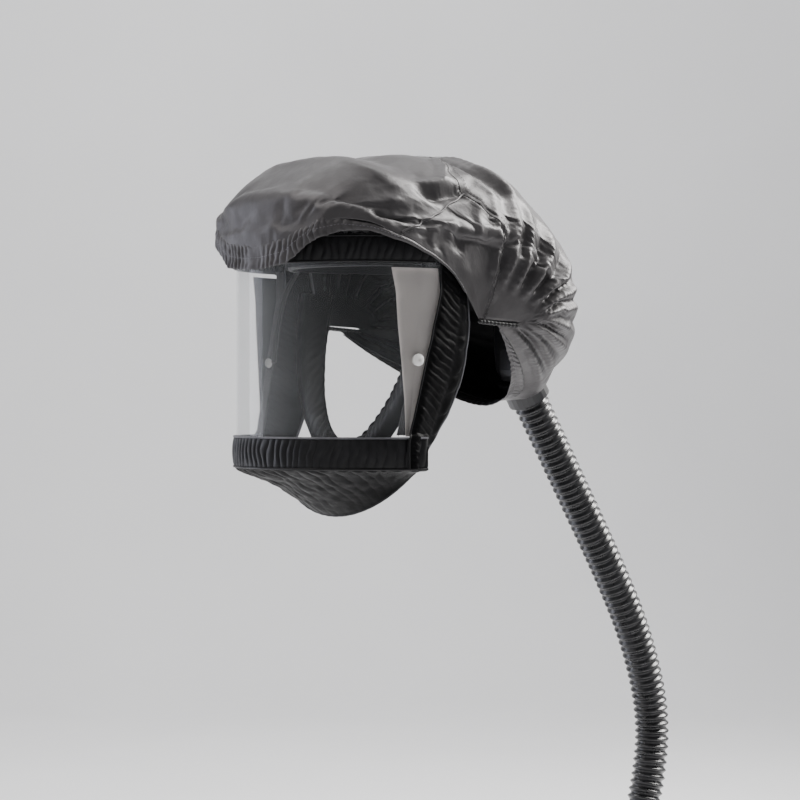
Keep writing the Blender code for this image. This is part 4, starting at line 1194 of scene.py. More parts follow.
    def hems(self, settings):
        """Gathered casings: the brim's lower edge and the nape's."""
        turn = spread(math.radians(7), math.pi - math.radians(7), 760)
        share = spread(0, 1, 15)[:, None]
        front = smoothstep(math.radians(46), math.radians(72), from_ear(turn))[None, :]
        angle = (brim_angle(turn) - 4.8)[None, :] + (2.4 + 4.2 * front) * share
        self.casing("brim_casing", angle, turn, share, settings.ruffle * (0.16 + 0.9 * front), settings,
                    "brim_hem",
                    0.0064)
        turn = spread(math.radians(7), math.pi - math.radians(7), 420)
        share = spread(0, 1, 12)[:, None]
        angle = 208.2 + 6.3 * share + 0 * turn[None, :]
        self.casing("nape_casing", angle, turn, share, settings.ruffle * 0.7, settings, "nape_hem", 0.0080)

    def casing(self, name, angle, turn, share, depth, settings, node, pitch):
        points = folded(hood_points(angle, turn[None, :]), settings)
        normal = grid_normals(points, (0, 0.02, -0.04))
        run = lengths(points, 1)
        belly = np.sin(math.pi * share) ** 0.7
        channel = np.abs(np.sin(2 * math.pi * np.clip(share * 0.92 + 0.04, 0, 1))) ** 0.6
        uneven = 0.55 + 0.6 * ripple(points, 34, 14)
        crinkle = 0.7 * gathers(run, pitch, 2, points) + 0.5 * ripple(points, 260, 3) + 0.4 * ripple(points,
                                                                                                     150, 6)
        lift = -0.0002 + 0.0012 * belly + depth * uneven * crinkle * (0.25 + 0.75 * channel)
        points = points + normal * lift[..., None]
        cloth = grid(name, points, outward=(0, 0.02, -0.04))
        dress(thicken(cloth, settings.thickness), "hem nylon", stands_for=node,
              crease=180)
        size = lengths(points, 1)[len(points) // 2]
        float(np.ptp(lengths(points, 0)[:,
                                                                                         len(turn) // 2]))
        middle = len(points) // 2
        line, _ = evenly(points[middle, ::2] + normal[middle, ::2] * 0.0004, 0.0016)
        stitches(f"{name}_stitches", line, "pale thread", 0.0030, 0.0019, 0.0004)

    def ear_gathers(self):
        """The short beaded line behind each ear where the rear panel is gathered."""
        for side, name in ((1, "left"), (-1, "right")):
            line, run = evenly([(side * 0.1075, y, -0.0608 - 0.003 * s) for s, y in
                                zip(spread(0, 1, 9), spread(0.001, 0.049, 9))], 0.0007)
            at = np.linspace(0, run, len(line))
            radius = 0.0013 + 0.0008 * np.abs(np.sin(math.pi * at / 0.0042)) ** 0.6
            radius = radius * np.sqrt(np.clip(np.minimum(at, run - at) / 0.003, 0.02, 1))
            dress(tube(f"ear_gather_{name}", line, radius, 14), "band fabric")


# ---------------------------------------------------------------- visor and its bands
class RESPIRATOR_OT_visor(Operator):
    """Makes the clear visor, its side shades and press studs."""
    bl_idname = "respirator.visor"
    bl_label = "Visor"

    def execute(self, context):
        z = spread(LENS_TOP, LENS_BOTTOM, 26)[:, None]
        share = spread(-1, 1, 109)[None, :]
        bowed = 0.0005 * ripple(around_visor(LENS_RADIUS, rear_angle(z) * share, z), 12, 3)
        points = around_visor(LENS_RADIUS - 0.0002 + bowed * 0.4, rear_angle(z) * share, z)
        lens = grid("visor_sheet", points, outward=(0, LENS_CENTRE_Y, -0.08))
        thicken(lens, LENS_THICK - 0.0002, rim=1)
        # the rim faces take the pale, nearly opaque edge finish, a painted reflection
        dress(lens, ("visor sheet", "visor edge painted bright"), stands_for="visor_lens", crease=40)
        for side, name in ((1, "left"), (-1, "right")):
            self.shade(side, name)
            self.stud(side, name)
            self.inner_tape(side, name)
        return {"FINISHED"}

    def shade(self, side, name):
        """An opaque wedge with one upright crease; its inside faces get black band fabric, a painted shade
        for the unlit inside.
        """
        table = np.array([(-0.0180, 64, 87), (-0.0370, 66, 88.3), (-0.0660, 67, 84.4), (-0.0940, 68.5, 81),
                          (-0.1270, 70, 77), (-0.1570, 70.5, 73.2)])
        z = spread(-0.0180, -0.1570, 40)
        front = np.interp(-z, -table[:, 0], table[:, 1])[:, None]
        rear = np.interp(-z, -table[:, 0], table[:, 2])[:, None]
        across = spread(0, 1, 17)[None, :]
        dent = 0.0016 * np.maximum(1 - np.abs(across - 0.56) / 0.5, 0)
        points = around_visor(0.1070 - dent, side * np.radians(front + (rear - front) * across), z[:, None])
        shade = grid(f"side_shade_panel_{name}", points, outward=(0, LENS_CENTRE_Y, -0.08))
        thicken(shade, 0.0007, inside=1)
        # the second finish, black band fabric on the inside faces, is a painted shade
        dress(shade, ("side shade", "band fabric"), stands_for=f"side_shade_{name}",
              crease=50)

    def stud(self, side, name):
        axis = Vector((side * math.sin(STUD_ANGLE), -math.cos(STUD_ANGLE), 0))
        centre = Vector((0, LENS_CENTRE_Y, STUD_Z)) + axis * LENS_RADIUS
        profile = [(0, 0.0021), (0.0009, 0.0021), (0.0014, 0.0027), (0.0026, 0.0026), (0.0040, 0.0021),
                   (0.0049, 0.0012), (0.0051, 0.0007), (0.0049, 0.0003), (0.0021, 0.0003), (0.0021, -0.0032),
                   (0.0044, -0.0032), (0.0047, -0.0040), (0.0040, -0.0050), (0, -0.0051)]
        dress(lathe(f"press_stud_{name}", profile, centre, axis, 40), "press stud",
              stands_for=f"shade_stud_{name}", crease=35)

    def inner_tape(self, side, name):
        """A stitched tape on the inside of the visor's rear edge."""
        z = spread(-0.012, -0.156, 60)[:, None]
        edge = np.degrees(rear_angle(z)) - 2.5
        points = around_visor(0.1052, side * np.radians(edge - 4.6 * spread(0, 1, 7)[None, :]), z)
        tape = grid(f"visor_tape_{name}", points, outward=(0, LENS_CENTRE_Y, -0.08))
        dress(thicken(tape, 0.0005), "strap webbing")
        for i, at in enumerate((1.0, 3.6)):
            line = around_visor(0.1044, side * np.radians(edge[:, 0] - at), z[:, 0])
            stitches(f"visor_tape_stitches_{name}_{i}", line, "pale thread", 0.0036, 0.0022, 0.0006)


class RESPIRATOR_OT_bands(Operator):
    """Makes the gathered bands round the visor, the panel under the brim, the chin skirt and face seal."""
    bl_idname = "respirator.bands"
    bl_label = "Visor bands and seals"

    def execute(self, context):
        settings = context.scene.respirator_visor
        self.pitch, self.depth = settings.gather_pitch, settings.gather_depth
        self.top_and_bottom()
        self.surround()
        for side, name in ((1, "left"), (-1, "right")):
            self.side_band(side, name)
        self.chin_skirt()
        self.face_seal()
        return {"FINISHED"}

    def finished(self, name, points, away, node, slot="black_elastic", finish="band fabric", thick=0.0007,
                 held="gathered", finer=0):
        cloth = grid(name, points, outward=away)
        thicken(cloth, thick, 0, finer=finer)
        dress(cloth, finish, stands_for=node, crease=180)
        wide, tall = lengths(points, 1)[len(points) // 2], lengths(points, 0)[:, points.shape[1] // 2]
        min(RESPIRATOR_OT_hood.area(points), 0.999 * float(np.ptp(wide) * np.ptp(tall)))
        return cloth

    def top_and_bottom(self):
        for name, node, heights, reach, deep in (
                ("visor_top_casing", "visor_top_band", TOP_BAND, TOP_BAND_END, 1.0),
                ("visor_bottom_casing", "visor_bottom_band", BOTTOM_BAND, BAND_END, 0.8)):
            angle = spread(-reach, reach, 560)[None, :]
            share = spread(0, 1, 17)[:, None]
            z = heights[0] + (heights[1] - heights[0]) * share
            plain = around_visor(BAND_RADIUS, angle, z)
            far = 1 + 0.7 * smoothstep(0.2, -0.9, angle) if "bottom" in name else 1
            swell = np.sin(math.pi * share) ** 0.6
            wave = gathers(angle * BAND_RADIUS + 0.004 * share, self.pitch * 1.15, 6, plain)
            radius = (BAND_RADIUS - 0.0004 + 0.0011 * swell
                      + self.depth * deep * far * wave * (0.15 + 0.85 * swell))
            z = z + 0.0009 * far * ripple(plain, 60, 8) * swell
            self.finished(name, around_visor(radius, angle, z), (0, LENS_CENTRE_Y, heights[0]), node)
            for i, edge in enumerate(heights):
                line = around_visor(BAND_RADIUS + 0.0006, spread(-reach, reach, 160), edge)
                # the bottom band's top edge gets the paler piping, a painted highlight
                finish = "piping" if "bottom" in name and i == 0 else "band fabric"
                dress(tube(f"{name}_piping_{i}", line, 0.0009, 10), finish)

    def surround(self):
        """Black fabric from inside the brim's hem down to the band over the visor."""
        turn = spread(math.radians(19), math.pi - math.radians(19), 520)
        around = (math.pi / 2 - turn) * 1.12
        hem = hood_points(brim_angle(turn) - 1.5, turn)
        inward = np.stack([hem[:, 0] * 0.5, np.full_like(turn, EAR.y), np.full_like(turn, EAR.z)], -1) - hem
        top = hem + inward / np.linalg.norm(inward, axis=1, keepdims=True) * 0.0045
        middle = around_visor(0.1138, around, 0.0100)
        last = around_visor(0.1068, around, 0.0140)
        share = spread(0, 1, 15)[:, None, None]
        first = np.clip(share / 0.75, 0, 1)
        points = np.where(share <= 0.75, top[None] + (middle - top)[None] * first,
                          middle[None] + (last - middle)[None] * (share - 0.75) / 0.25)
        normal = grid_normals(points, (0, -0.02, -0.06))
        wave = gathers(lengths(points, 1), self.pitch * 1.3, 12, points)
        lift = self.depth * 1.1 * wave * np.sin(math.pi * np.clip(share[..., 0], 0, 1)) ** 0.5
        self.finished("brim_lining", points + normal * lift[..., None], (0, -0.02, -0.06), "visor_surround")

    def side_band(self, side, name):
        """The ruched elastic behind the visor's rear edge, ending in a soft rolled lobe."""
        z = spread(SIDE_BAND_REAR[0][0], SIDE_BAND_REAR[-1][0], 300)
        table = np.array(SIDE_BAND_REAR)
        x = np.interp(-z, -table[:, 0], table[:, 1])
        y = np.interp(-z, -table[:, 0], table[:, 2])
        over = BAND_RADIUS + 0.0022 * smoothstep(-0.1545, -0.1575,
                                                 z)  # down here it lies over the bottom band's end
        front = around_visor(over, rear_angle(z) - 0.035, z)
        edge = around_visor(over, rear_angle(z) + 0.03, z)
        rear = np.stack([x, y, z], -1)
        middle = (edge + rear) / 2 + np.array((0.002, 0, 0))
        share = spread(0, 1, 33)
        stops = np.array([0, 0.22, 0.62, 1.0])
        points = np.empty((len(z), len(share), 3))
        for axis in range(3):
            control = np.stack([p[:, axis] for p in (front, edge, middle, rear)], -1)
            for i in range(len(z)):
                points[i, :, axis] = np.interp(share, stops, control[i])
        points[:, 1:-1] = (points[:, :-2] + 2 * points[:, 1:-1] + points[:, 2:]) / 4
        points[..., 0] *= side
        normal = grid_normals(points, (0, -0.04, -0.08))
        across = share[None, :]
        ruched = smoothstep(0.05, 0.16, across) * (1 - smoothstep(0.60, 0.72, across))
        wave = gathers(z[:, None] * 1.02 + across * 0.024, self.pitch * 1.05, 20 + side, points)
        lobe = np.exp(-((across - 0.84) / 0.11) ** 2) * smoothstep(0.0, 0.035, 0.006 - z)[:, None]
        fine = gathers(z[:, None] * 1.1 + across * 0.030, self.pitch * 0.62, 23 + side, points)
        lift = self.depth * (0.42 * wave + 0.20 * fine) * ruched + 0.0018 * lobe + 0.0008 * ripple(points, 70,
                                                                                                   4)
        lift += self.depth * 0.8 * gathers(z[:, None], 0.017, 9, points) * lobe
        points = points + normal * lift[..., None]
        self.finished(f"side_casing_{name}", points, (0, -0.04, -0.08), f"visor_side_band_{name}",
                      finish="matt elastic")
        # the lobe's rear rim gets the paler piping, a painted highlight
        dress(tube(f"side_piping_{name}", evenly(points[:, -1], 0.002)[0], 0.0011, 10), "piping")
        dress(tube(f"side_front_piping_{name}", evenly(points[:, 0] + normal[:, 0] * 0.0006, 0.002)[0],
                   0.0008, 10),
              "band fabric")

    def chin_skirt(self):
        angle = spread(-BAND_END, BAND_END, 300)
        turn = angle / BAND_END * math.pi / 2
        top = around_visor(BAND_RADIUS, angle, BOTTOM_BAND[1] - 0.0006)
        hem = np.stack([0.086 * np.sin(turn), -0.050 - 0.019 * np.cos(turn),
                        -0.1875 - 0.0385 * np.maximum(np.cos(turn), 0) ** 1.5], -1)
        share = spread(0, 1, 48)[:, None, None]
        sag = 0.003 * np.sin(math.pi * share[..., 0]) * np.cos(turn)[None, :]
        points = top[None] + (hem - top)[None] * share
        points[..., 2] += sag
        normal = grid_normals(points, (0, -0.02, -0.14))
        down = share[..., 0]
        crumple = smoothstep(0.35, -0.75, turn)[None, :] * 0.75 + 0.45
        wave = gathers(angle[None, :] * BAND_RADIUS + 0.012 * down, 0.0125, 31, points)
        lift = 0.0022 * crumple * wave * np.exp(-down * 2.4) * smoothstep(0, 0.06, down)
        lift += 0.0030 * crumple * ripple(points, 48, 33) * np.sin(math.pi * np.clip(down, 0, 1)) ** 0.6
        lift += 0.0012 * crumple * ripple(points, 120, 35) * np.sin(math.pi * np.clip(down, 0, 1))
        points = points + normal * lift[..., None]
        self.finished("chin_drape", points, (0, -0.02, -0.14), "chin_skirt", finish="matt elastic", finer=0)
        dress(tube("chin_hem_cord", evenly(points[-1], 0.002)[0], 0.0012, 10), "band fabric")

    def face_seal(self):
        turn = spread(0, math.pi, 260)
        c, d = np.cos(turn), np.sin(turn)
        outer = np.stack([0.0985 * c, -0.028 - 0.027 * d, -0.030 - 0.155 * d], -1)
        inner = np.stack([0.064 * c, -0.018 - 0.036 * d, -0.034 - 0.130 * d], -1)
        share = spread(0, 1, 20)[:, None, None]
        points = outer[None] + (inner - outer)[None] * share
        points[..., 1] -= 0.006 * np.sin(math.pi * share[..., 0])
        normal = grid_normals(points, (0, 0.2, -0.1))
        down = share[..., 0]
        lift = 0.0012 * gathers(lengths(points, 1), 0.009, 40, points) * smoothstep(0.2, 1, down)
        lift += 0.0010 * ripple(points, 50, 41)
        points = points + normal * lift[..., None]
        self.finished("face_seal_skirt", points, (0, 0.2, -0.1), "face_seal", finish="seal fabric")
        dress(tube("face_seal_elastic", evenly(points[-1], 0.002)[0], 0.0014, 10), "seal fabric")


# ---------------------------------------------------------------- headgear
def ribbon(name, line, width, thick, outward, finish, node=None, body=MAIN, ridges=True):
    """A flat woven strap from a line of its middle and the vector across its width."""
    line = np.asarray([tuple(p) for p in line], float)
    width = np.asarray(width, float)
    share = spread(-0.5, 0.5, 13)
    points = line[:, None, :] + share[None, :, None] * width[None, None, :]
    normal = grid_normals(points, outward)
    if ridges:
        edge = np.exp(-((np.abs(share) - 0.44) / 0.03) ** 2) * 0.0003
        points = points + normal * edge[None, :, None]
    strap = grid(name, points, outward=outward)
    thicken(strap, thick, 0, edge=thick * 0.25)
    return dress(strap, finish, body, stands_for=node or ())


class RESPIRATOR_OT_headgear(Operator):
    """Makes the headband's pad, the crown straps and the ratchet's details."""
    bl_idname = "respirator.headgear"
    bl_label = "Headgear"

    def execute(self, context):
        settings = context.scene.respirator_headgear
        for node in ("front_headband", "rear_headband", "ratchet_housing", "ratchet_knob", "visor_arm_left",
                     "visor_arm_right", "air_duct"):
            paint(node, "black plastic")
        thick = settings.strap_thickness
        t = spread(0, math.pi, 61)
        cross = np.stack([0.0782 * np.cos(t), -0.011 + 0 * t, 0.0138 + 0.0554 * np.sin(t)], -1)
        ribbon("crown_webbing_cross", cross, (0, 0.016, 0), thick, (0, -0.011, 0), "strap webbing",
               "crown_strap_cross")
        t = spread(0, math.radians(104), 45)
        front = np.stack([0 * t, -0.0975 * np.cos(t), 0.0140 + 0.0590 * np.sin(t)], -1)
        ribbon("crown_webbing_front", front, (0.018, 0, 0), thick, (0, 0, 0), "strap webbing",
               "crown_strap_front")
        t = spread(0, math.radians(84), 41)
        rear = np.stack([0 * t, 0.1015 * np.cos(t), 0.0110 + 0.0656 * np.sin(t)], -1)
        ribbon("crown_webbing_rear", rear, (0.018, 0, 0), thick, (0, 0, 0), "strap webbing",
               "crown_strap_rear",
               body="rear_fit")
        self.brow_pad()
        self.diffuser()
        ribs("knob_grips", "black plastic", settings.knurls, 0.0165, (0.0022, 0.0026, 0.0088),
             (0, 0.1172, -0.001),
             (0, 1, 0), body="ratchet_knob")
        cap = lathe("knob_cap", [(0, 0.0012), (0.0070, 0.0010), (0.0098, 0.0002), (0.0104, -0.0003),
                                 (0, -0.0003)],
                    (0, 0.1227, -0.001), (0, 1, 0), 40)
        dress(cap, "black plastic", "ratchet_knob")
        holes = [(0.0, 0.0, 0.0)] + [(i * 0.0090, 0.0, 0.0) for i in (-3, -2, -1, 1, 2, 3)]
        for side, name in ((1, "left"), (-1, "right")):
            discs(f"headband_rivets_{name}", "black plastic", holes[:3], 0.0021, 0.0010, (side, 0, 0),
                  (side * 0.0794, -0.016, 0.0), 0.7)
        return {"FINISHED"}

    def brow_pad(self):
        """A foam pad round the inside of the front band, sewn into soft channels."""
        angle = spread(-1.15, 1.15, 140)
        section = spread(0, 2 * math.pi, 28)[:-1]
        half_high, half_thick = 0.0148, 0.0023
        up = np.copysign(np.abs(np.sin(section)) ** 0.55, np.sin(section)) * half_high
        out = np.copysign(np.abs(np.cos(section)) ** 0.7, np.cos(section)) * half_thick
        channel = 0.35 + 0.65 * np.abs(np.sin(angle / 2.3 * math.pi * 7)) ** 0.4
        ends = np.sqrt(np.clip((1.15 - np.abs(angle)) / 0.03, 0.0, 1))
        rows = []
        for i, a in enumerate(angle):
            radial = np.array((math.sin(a), -math.cos(a), 0))
            centre = np.array((0.0743 * math.sin(a), -0.030 - 0.0643 * math.cos(a), 0))
            inside = np.where(out < 0, channel[i], 1.0)
            ring = centre + radial[None] * (out * inside * ends[i])[:, None]
            rows.append(ring + np.array((0, 0, 1))[None] * (up * ends[i])[:, None])
        pad = grid("brow_cushion", rows, closed=True)
        weld(pad, outward=True)
        work = bmesh.new()
        work.from_mesh(pad.data)
        bmesh.ops.holes_fill(work, edges=work.edges)
        bmesh.ops.recalc_face_normals(work, faces=work.faces)
        work.to_mesh(pad.data)
        work.free()
        dress(pad, "brow foam", stands_for="brow_pad")

    def diffuser(self):
        """The block of open foam at the end of the air duct, taken from its CAD solid and softened."""
        block = softened("air_foam", "air_diffuser")
        dress(block, "diffuser foam", stands_for="air_diffuser")


def softened(name, node):
    """A copy of a CAD node with its triangles merged and smoothed, for a foam or rubber piece."""
    mesh = NODES[node].data.copy()
    obj = bpy.data.objects.new(name, mesh)
    bpy.context.scene.collection.objects.link(obj)
    work = bmesh.new()
    work.from_mesh(mesh)
    bmesh.ops.remove_doubles(work, verts=work.verts, dist=0.00002)
    bmesh.ops.dissolve_limit(work, angle_limit=math.radians(3), verts=work.verts, edges=work.edges)
    bmesh.ops.triangulate(work, faces=work.faces)
    bmesh.ops.subdivide_edges(work, edges=work.edges, cuts=3, use_grid_fill=True)
    bmesh.ops.smooth_vert(work, verts=work.verts, factor=0.35, use_axis_x=True, use_axis_y=True,
                          use_axis_z=True)
    work.to_mesh(mesh)
    work.free()
    return obj


# ---------------------------------------------------------------- blower, filters and battery
def outline(width, height, corner, steps=8):
    """A rounded rectangle in X and Z round the origin."""
    points = []
    for start, sx, sz in ((0, 1, 1), (90, -1, 1), (180, -1, -1), (270, 1, -1)):
        for a in spread(math.radians(start), math.radians(start + 90), steps):
            points.append((sx * (width / 2 - corner) + corner * math.cos(a),
                           sz * (height / 2 - corner) + corner * math.sin(a)))
    return points


def frame_bead(name, width, height, corner, centre, radius, finish, body=MAIN):
    """A round bead along a rounded rectangle that faces along Y."""
    ring = [(centre[0] + x, centre[1], centre[2] + z) for x, z in outline(width, height, corner)]
    line, _ = evenly([*ring, ring[0]], 0.002)
    places = line[:-1]
    rows = []
    for i, p in enumerate(places):
        ahead = Vector(places[(i + 1) % len(places)] - places[i - 1]).normalized()
        out = ahead.cross(Vector((0, 1, 0)))
        rows.append([p + np.array(out * math.cos(a) + Vector((0, 1, 0)) * math.sin(a)) * radius
                     for a in spread(0, 2 * math.pi, 9)[:-1]])
    bead = grid(name, np.array(rows + rows[:1]), closed=True)
    weld(bead, outward=True)
    return dress(bead, finish, body)


class RESPIRATOR_OT_blower(Operator):
    """Finishes the blower: casing details, screws, grille, filters, buttons and battery."""
    bl_idname = "respirator.blower"
    bl_label = "Blower"

    def execute(self, context):
        settings = context.scene.respirator_blower
        finishes = {
            "blower case": ("blower_back_shell", "blower_front_shell"),
            "black plastic": ("outlet_spigot", "volute"),
            "motor steel": ("blower_motor", "motor_shaft"), "impeller grey": ("impeller",),
            "circuit board": ("circuit_board",), "green key": ("power_button",),
            "grey key": ("speed_button",),
            "lamp": ("status_lens",), "battery case": ("battery_pack",), "red key": ("battery_latch",),
            "filter case": ("filter_left", "filter_right"), "case detail": ("filter_cover_left",
                                                                            "filter_cover_right"),
        }
        for finish, nodes in finishes.items():
            for node in nodes:
                paint(node, finish)
        low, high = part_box("blower_front_shell")
        middle_z = (low.z + high.z) / 2
        front = high.y
        frame_bead("case_parting_bead", 0.1304, 0.1054, 0.0162, (0, 0.300, middle_z), 0.0006, "case detail")
        frame_bead("control_border", 0.062, 0.021, 0.0070, (-0.003, front + 0.0001, middle_z - 0.035), 0.0008,
                   "case detail")
        frame_bead("front_panel_border", 0.104, 0.046, 0.0100, (0, front + 0.0001, middle_z + 0.012), 0.0009,
                   "case detail")
        slats = [rounded_block(f"slat_{i}", (0.070 - 0.004 * abs(i), 0.0016, 0.0032),
                               (0, front + 0.0004, middle_z + 0.012 + i * 0.0062), 0.0006) for i in range(-3,
                                                                                                          4)]
        dress(joined("front_slats", slats), "case detail")
        corners = [(sx * 0.0555, sz * 0.0430, 0) for sx in (-1, 1) for sz in (-1, 1)]
        discs("case_screws", "screw steel", corners, 0.0026, 0.0012, (0, 1, 0), (0, front + 0.0004, middle_z),
              0.75)
        discs("case_screw_sockets", "hole shadow", corners, 0.0012, 0.0003, (0, 1, 0),
              (0, front + 0.0011, middle_z),
              1.0)
        discs("power_mark", "grey key", [(0, 0, 0)], 0.0018, 0.0006, (0, 1, 0),
              (-0.022, front + 0.0017, middle_z - 0.035), 0.8, "power_button")
        discs("speed_mark", "case detail", [(-0.0018, 0, 0), (0.0018, 0, 0)], 0.0009, 0.0006, (0, 1, 0),
              (0, front + 0.0017, middle_z - 0.035), 0.8, "speed_button")
        for side, name in ((1, "left"), (-1, "right")):
            self.filter(settings, side, name)
        self.battery()
        return {"FINISHED"}

    def filter(self, settings, side, name):
        body = f"filter_{name}"
        low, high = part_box(body)
        cover_low, cover_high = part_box(f"filter_cover_{name}")
        axis = (side, 0, 0)
        centre_y, centre_z = (low.y + high.y) / 2, (low.z + high.z) / 2
        outer = cover_high.x if side > 0 else cover_low.x
        face = side * 0.065
        ribs(f"filter_grips_{name}", "filter case", settings.filter_ribs, 0.0327, (0.0020, 0.0030, 0.0270),
             (face + side * 0.0215, centre_y, centre_z), axis, body)
        for i, at in enumerate((0.0066, 0.0362)):
            band = lathe(f"filter_rim_{name}_{i}", [(0.0322, -0.0011), (0.0336, -0.0008), (0.0336, 0.0008),
                                                     (0.0322, 0.0011), (0.0322, -0.0011)],
                         (face + side * at, centre_y, centre_z), axis, 64)
            dress(band, "filter case", body)
        spots = [(0.0, 0.0, 0.0)]
        for ring in range(1, settings.hole_rings):
            radius = 0.0222 * ring / (settings.hole_rings - 1)
            count = 6 * ring
            spots += [(radius * math.cos(2 * math.pi * i / count), radius * math.sin(2 * math.pi * i / count),
                       0.0)
                      for i in range(count)]
        discs(f"cover_holes_{name}", "hole shadow", spots, 0.0012, 0.0003, axis,
              (outer + side * 0.00005, centre_y, centre_z), 1.0, body)
        gasket = softened(f"gasket_ring_{name}", f"filter_gasket_{name}")
        dress(gasket, "gasket rubber", stands_for=f"filter_gasket_{name}")

    def battery(self):
        low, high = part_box("battery_pack")
        middle = (low + high) / 2
        grips = []
        for side in (-1, 1):
            for i in range(5):
                grips.append(rounded_block(f"grip_{side}_{i}", (0.0016, 0.040, 0.0022),
                                           (side * (0.0520 + 0.0003), middle.y,
                                            middle.z - 0.008 + i * 0.0045),
                                           0.0005))
        dress(joined("battery_grips", grips), "case detail", "battery")
        frame_bead("battery_border", 0.060, 0.022, 0.0040, (-0.014, high.y + 0.0001, middle.z), 0.0006,
                   "case detail", "battery")
        latch_low, latch_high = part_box("battery_latch")
        latch = (latch_low + latch_high) / 2
        ridges = [rounded_block(f"ridge_{i}", (0.0014, 0.0008, 0.0080),
                                (latch.x + i * 0.0034, latch_high.y, latch.z),
                                0.0003) for i in range(-2, 3)]
        dress(joined("latch_ridges", ridges), "red key", "battery_latch")


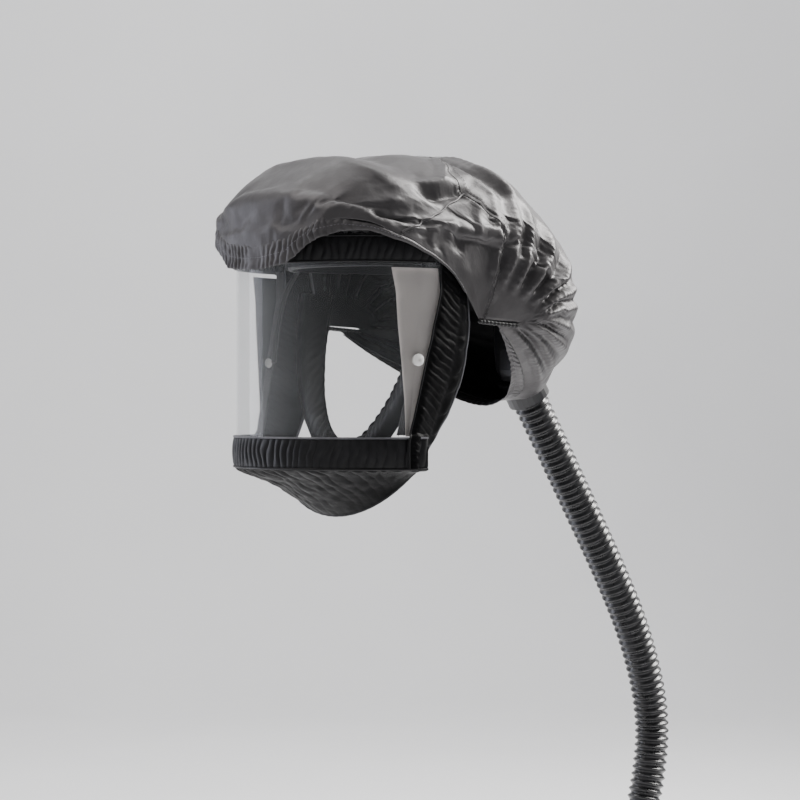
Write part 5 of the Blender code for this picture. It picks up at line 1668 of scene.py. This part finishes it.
# ---------------------------------------------------------------- belt
class RESPIRATOR_OT_belt(Operator):
    """Makes the waist belt's webbing, the padded back rest and the buckle's details."""
    bl_idname = "respirator.belt"
    bl_label = "Belt"

    def execute(self, context):
        self.thick = context.scene.respirator_belt.thickness
        for name, start, end, node, body in (("back", -29, 29, "belt_back", MAIN),
                                             ("left", 29.1, 166, "belt_left",
                                             "belt_left"), ("right", -29.05, -166, "belt_right", MAIN)):
            turn = np.radians(spread(start, end, max(40, int(abs(end - start)) * 2)))
            line = self.at(turn)
            ribbon(f"belt_webbing_{name}", line, (0, 0, BELT_WIDTH), self.thick, tuple(BELT_CENTRE),
                   "belt webbing",
                   node, body)
            for i, height in enumerate((-0.0165, 0.0165)):
                run = self.at(turn, self.thick / 2 + 0.0001) + np.array((0, 0, height))
                stitches(f"belt_stitches_{name}_{i}", run, "pale thread", 0.0042, 0.0028, 0.0005, body)
        for node in ("buckle_socket", "buckle_tongue", "belt_adjuster"):
            paint(node, "black plastic")
        paint("buckle_button", "red key")
        self.buckle_details()
        self.back_pad()
        return {"FINISHED"}

    @staticmethod
    def at(turn, extra=0.0):
        return np.stack([(BELT_HALF[0] + extra) * np.sin(turn),
                         BELT_CENTRE.y + (BELT_HALF[1] + extra) * np.cos(turn),
                         np.full_like(turn, BELT_CENTRE.z)], -1)

    def buckle_details(self):
        low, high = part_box("buckle_socket")
        ridges = [rounded_block(f"socket_ridge_{i}", (0.0012, 0.0009, 0.036),
                                (low.x + 0.003 + i * 0.0024, low.y,
                                BELT_CENTRE.z), 0.0004) for i in range(3)]
        dress(joined("socket_ridges", ridges), "black plastic")
        low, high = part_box("buckle_tongue")
        ridges = [rounded_block(f"tongue_ridge_{i}", (0.0012, 0.0009, 0.036),
                                (high.x - 0.003 - i * 0.0024, low.y,
                                BELT_CENTRE.z), 0.0004) for i in range(3)]
        dress(joined("tongue_ridges", ridges), "black plastic", "belt_left")
        low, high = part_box("buckle_button")
        middle = (low + high) / 2
        bars = [rounded_block(f"button_bar_{i}", (0.0080, 0.0007, 0.0010),
                              (middle.x, low.y, middle.z + i * 0.0030),
                              0.0003) for i in range(-2, 3)]
        dress(joined("button_bars", bars), "red key", "buckle_button")

    def back_pad(self):
        """A quilted foam pad: flat towards the wearer between its sewn channels, with bound edges."""
        low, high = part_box("comfort_pad")
        middle = (low + high) / 2
        size = high - low
        across, up = np.meshgrid(spread(-1, 1, 97), spread(-1, 1, 71))
        corner = (np.abs(across) ** 9 + np.abs(up) ** 9) ** (1 / 9)
        full = np.sqrt(np.clip(1 - smoothstep(0.80, 1.0, corner), 0, 1))
        channels = np.minimum(np.abs(np.abs(across) - 0.36), 0.5 * np.abs(np.abs(up) - 0.40)) / 0.05
        sewn = smoothstep(0, 1, channels)
        shrink = np.minimum(1, 1 / np.maximum((np.abs(across) ** 14 + np.abs(up) ** 14) ** (1 / 14), 1e-6))
        x = middle.x + across * shrink * size.x / 2
        z = middle.z + up * shrink * size.z / 2
        deep = size.y / 2
        near = middle.y - deep * (0.18 + 0.82 * full) * (0.72 + 0.28 * sewn)
        far = middle.y + deep * (0.18 + 0.72 * full)
        front = grid("pad_near", np.stack([x, near, z], -1), outward=tuple(middle))
        back = grid("pad_far", np.stack([x, far, z], -1), outward=tuple(middle))
        edge = np.concatenate([np.stack([x, z], -1)[0], np.stack([x, z], -1)[1:, -1],
                               np.stack([x, z], -1)[-1, -2::-1], np.stack([x, z], -1)[-2:0:-1, 0]])
        side = np.array([[(x, middle.y - deep * 0.18 * 0.72, z) for x, z in edge],
                         [(x, middle.y + deep * 0.18, z) for x, z in edge]])
        wall = grid("pad_wall", side, closed=True)
        pad = joined("back_cushion", [front, back, wall])
        weld(pad, outward=True, distance=0.0009)
        dress(pad, "pad mesh", stands_for="comfort_pad", crease=80)
        line = [(x, middle.y, z) for x, z in edge]
        loop, _ = evenly([*line, line[0]], 0.002)
        dress(tube("pad_binding", loop, 0.0022, 10), "pad binding")


# ---------------------------------------------------------------- panel and run
class RESPIRATOR_PT_panel(Panel):
    """Lists the respirator's pieces and their settings in the 3D view's sidebar."""
    bl_idname = "RESPIRATOR_PT_panel"
    bl_label = "Powered Air Respirator"
    bl_space_type = "VIEW_3D"
    bl_region_type = "UI"
    bl_category = "Respirator"

    def draw(self, context):
        for operator in OPERATORS:
            self.layout.operator(operator.bl_idname)
        for name, group in SETTINGS.items():
            box = self.layout.box()
            box.label(text=name.removeprefix("respirator_").capitalize())
            for field in group.__annotations__:
                box.prop(getattr(context.scene, name), field)


OPERATORS = (RESPIRATOR_OT_stage, RESPIRATOR_OT_hose, RESPIRATOR_OT_hood, RESPIRATOR_OT_visor,
             RESPIRATOR_OT_bands,
             RESPIRATOR_OT_headgear, RESPIRATOR_OT_blower, RESPIRATOR_OT_belt)
CLASSES = (*SETTINGS.values(), *OPERATORS, RESPIRATOR_PT_panel)


def register():
    for made in CLASSES:
        bpy.utils.register_class(made)
    for name, group in SETTINGS.items():
        setattr(bpy.types.Scene, name, PointerProperty(type=group))


def unregister():
    for name in SETTINGS:
        delattr(bpy.types.Scene, name)
    for made in reversed(CLASSES):
        bpy.utils.unregister_class(made)


def main():
    register()
    for operator in OPERATORS:
        group, name = operator.bl_idname.split(".")
        getattr(getattr(bpy.ops, group), name)()


if __name__ == "__main__":
    main()
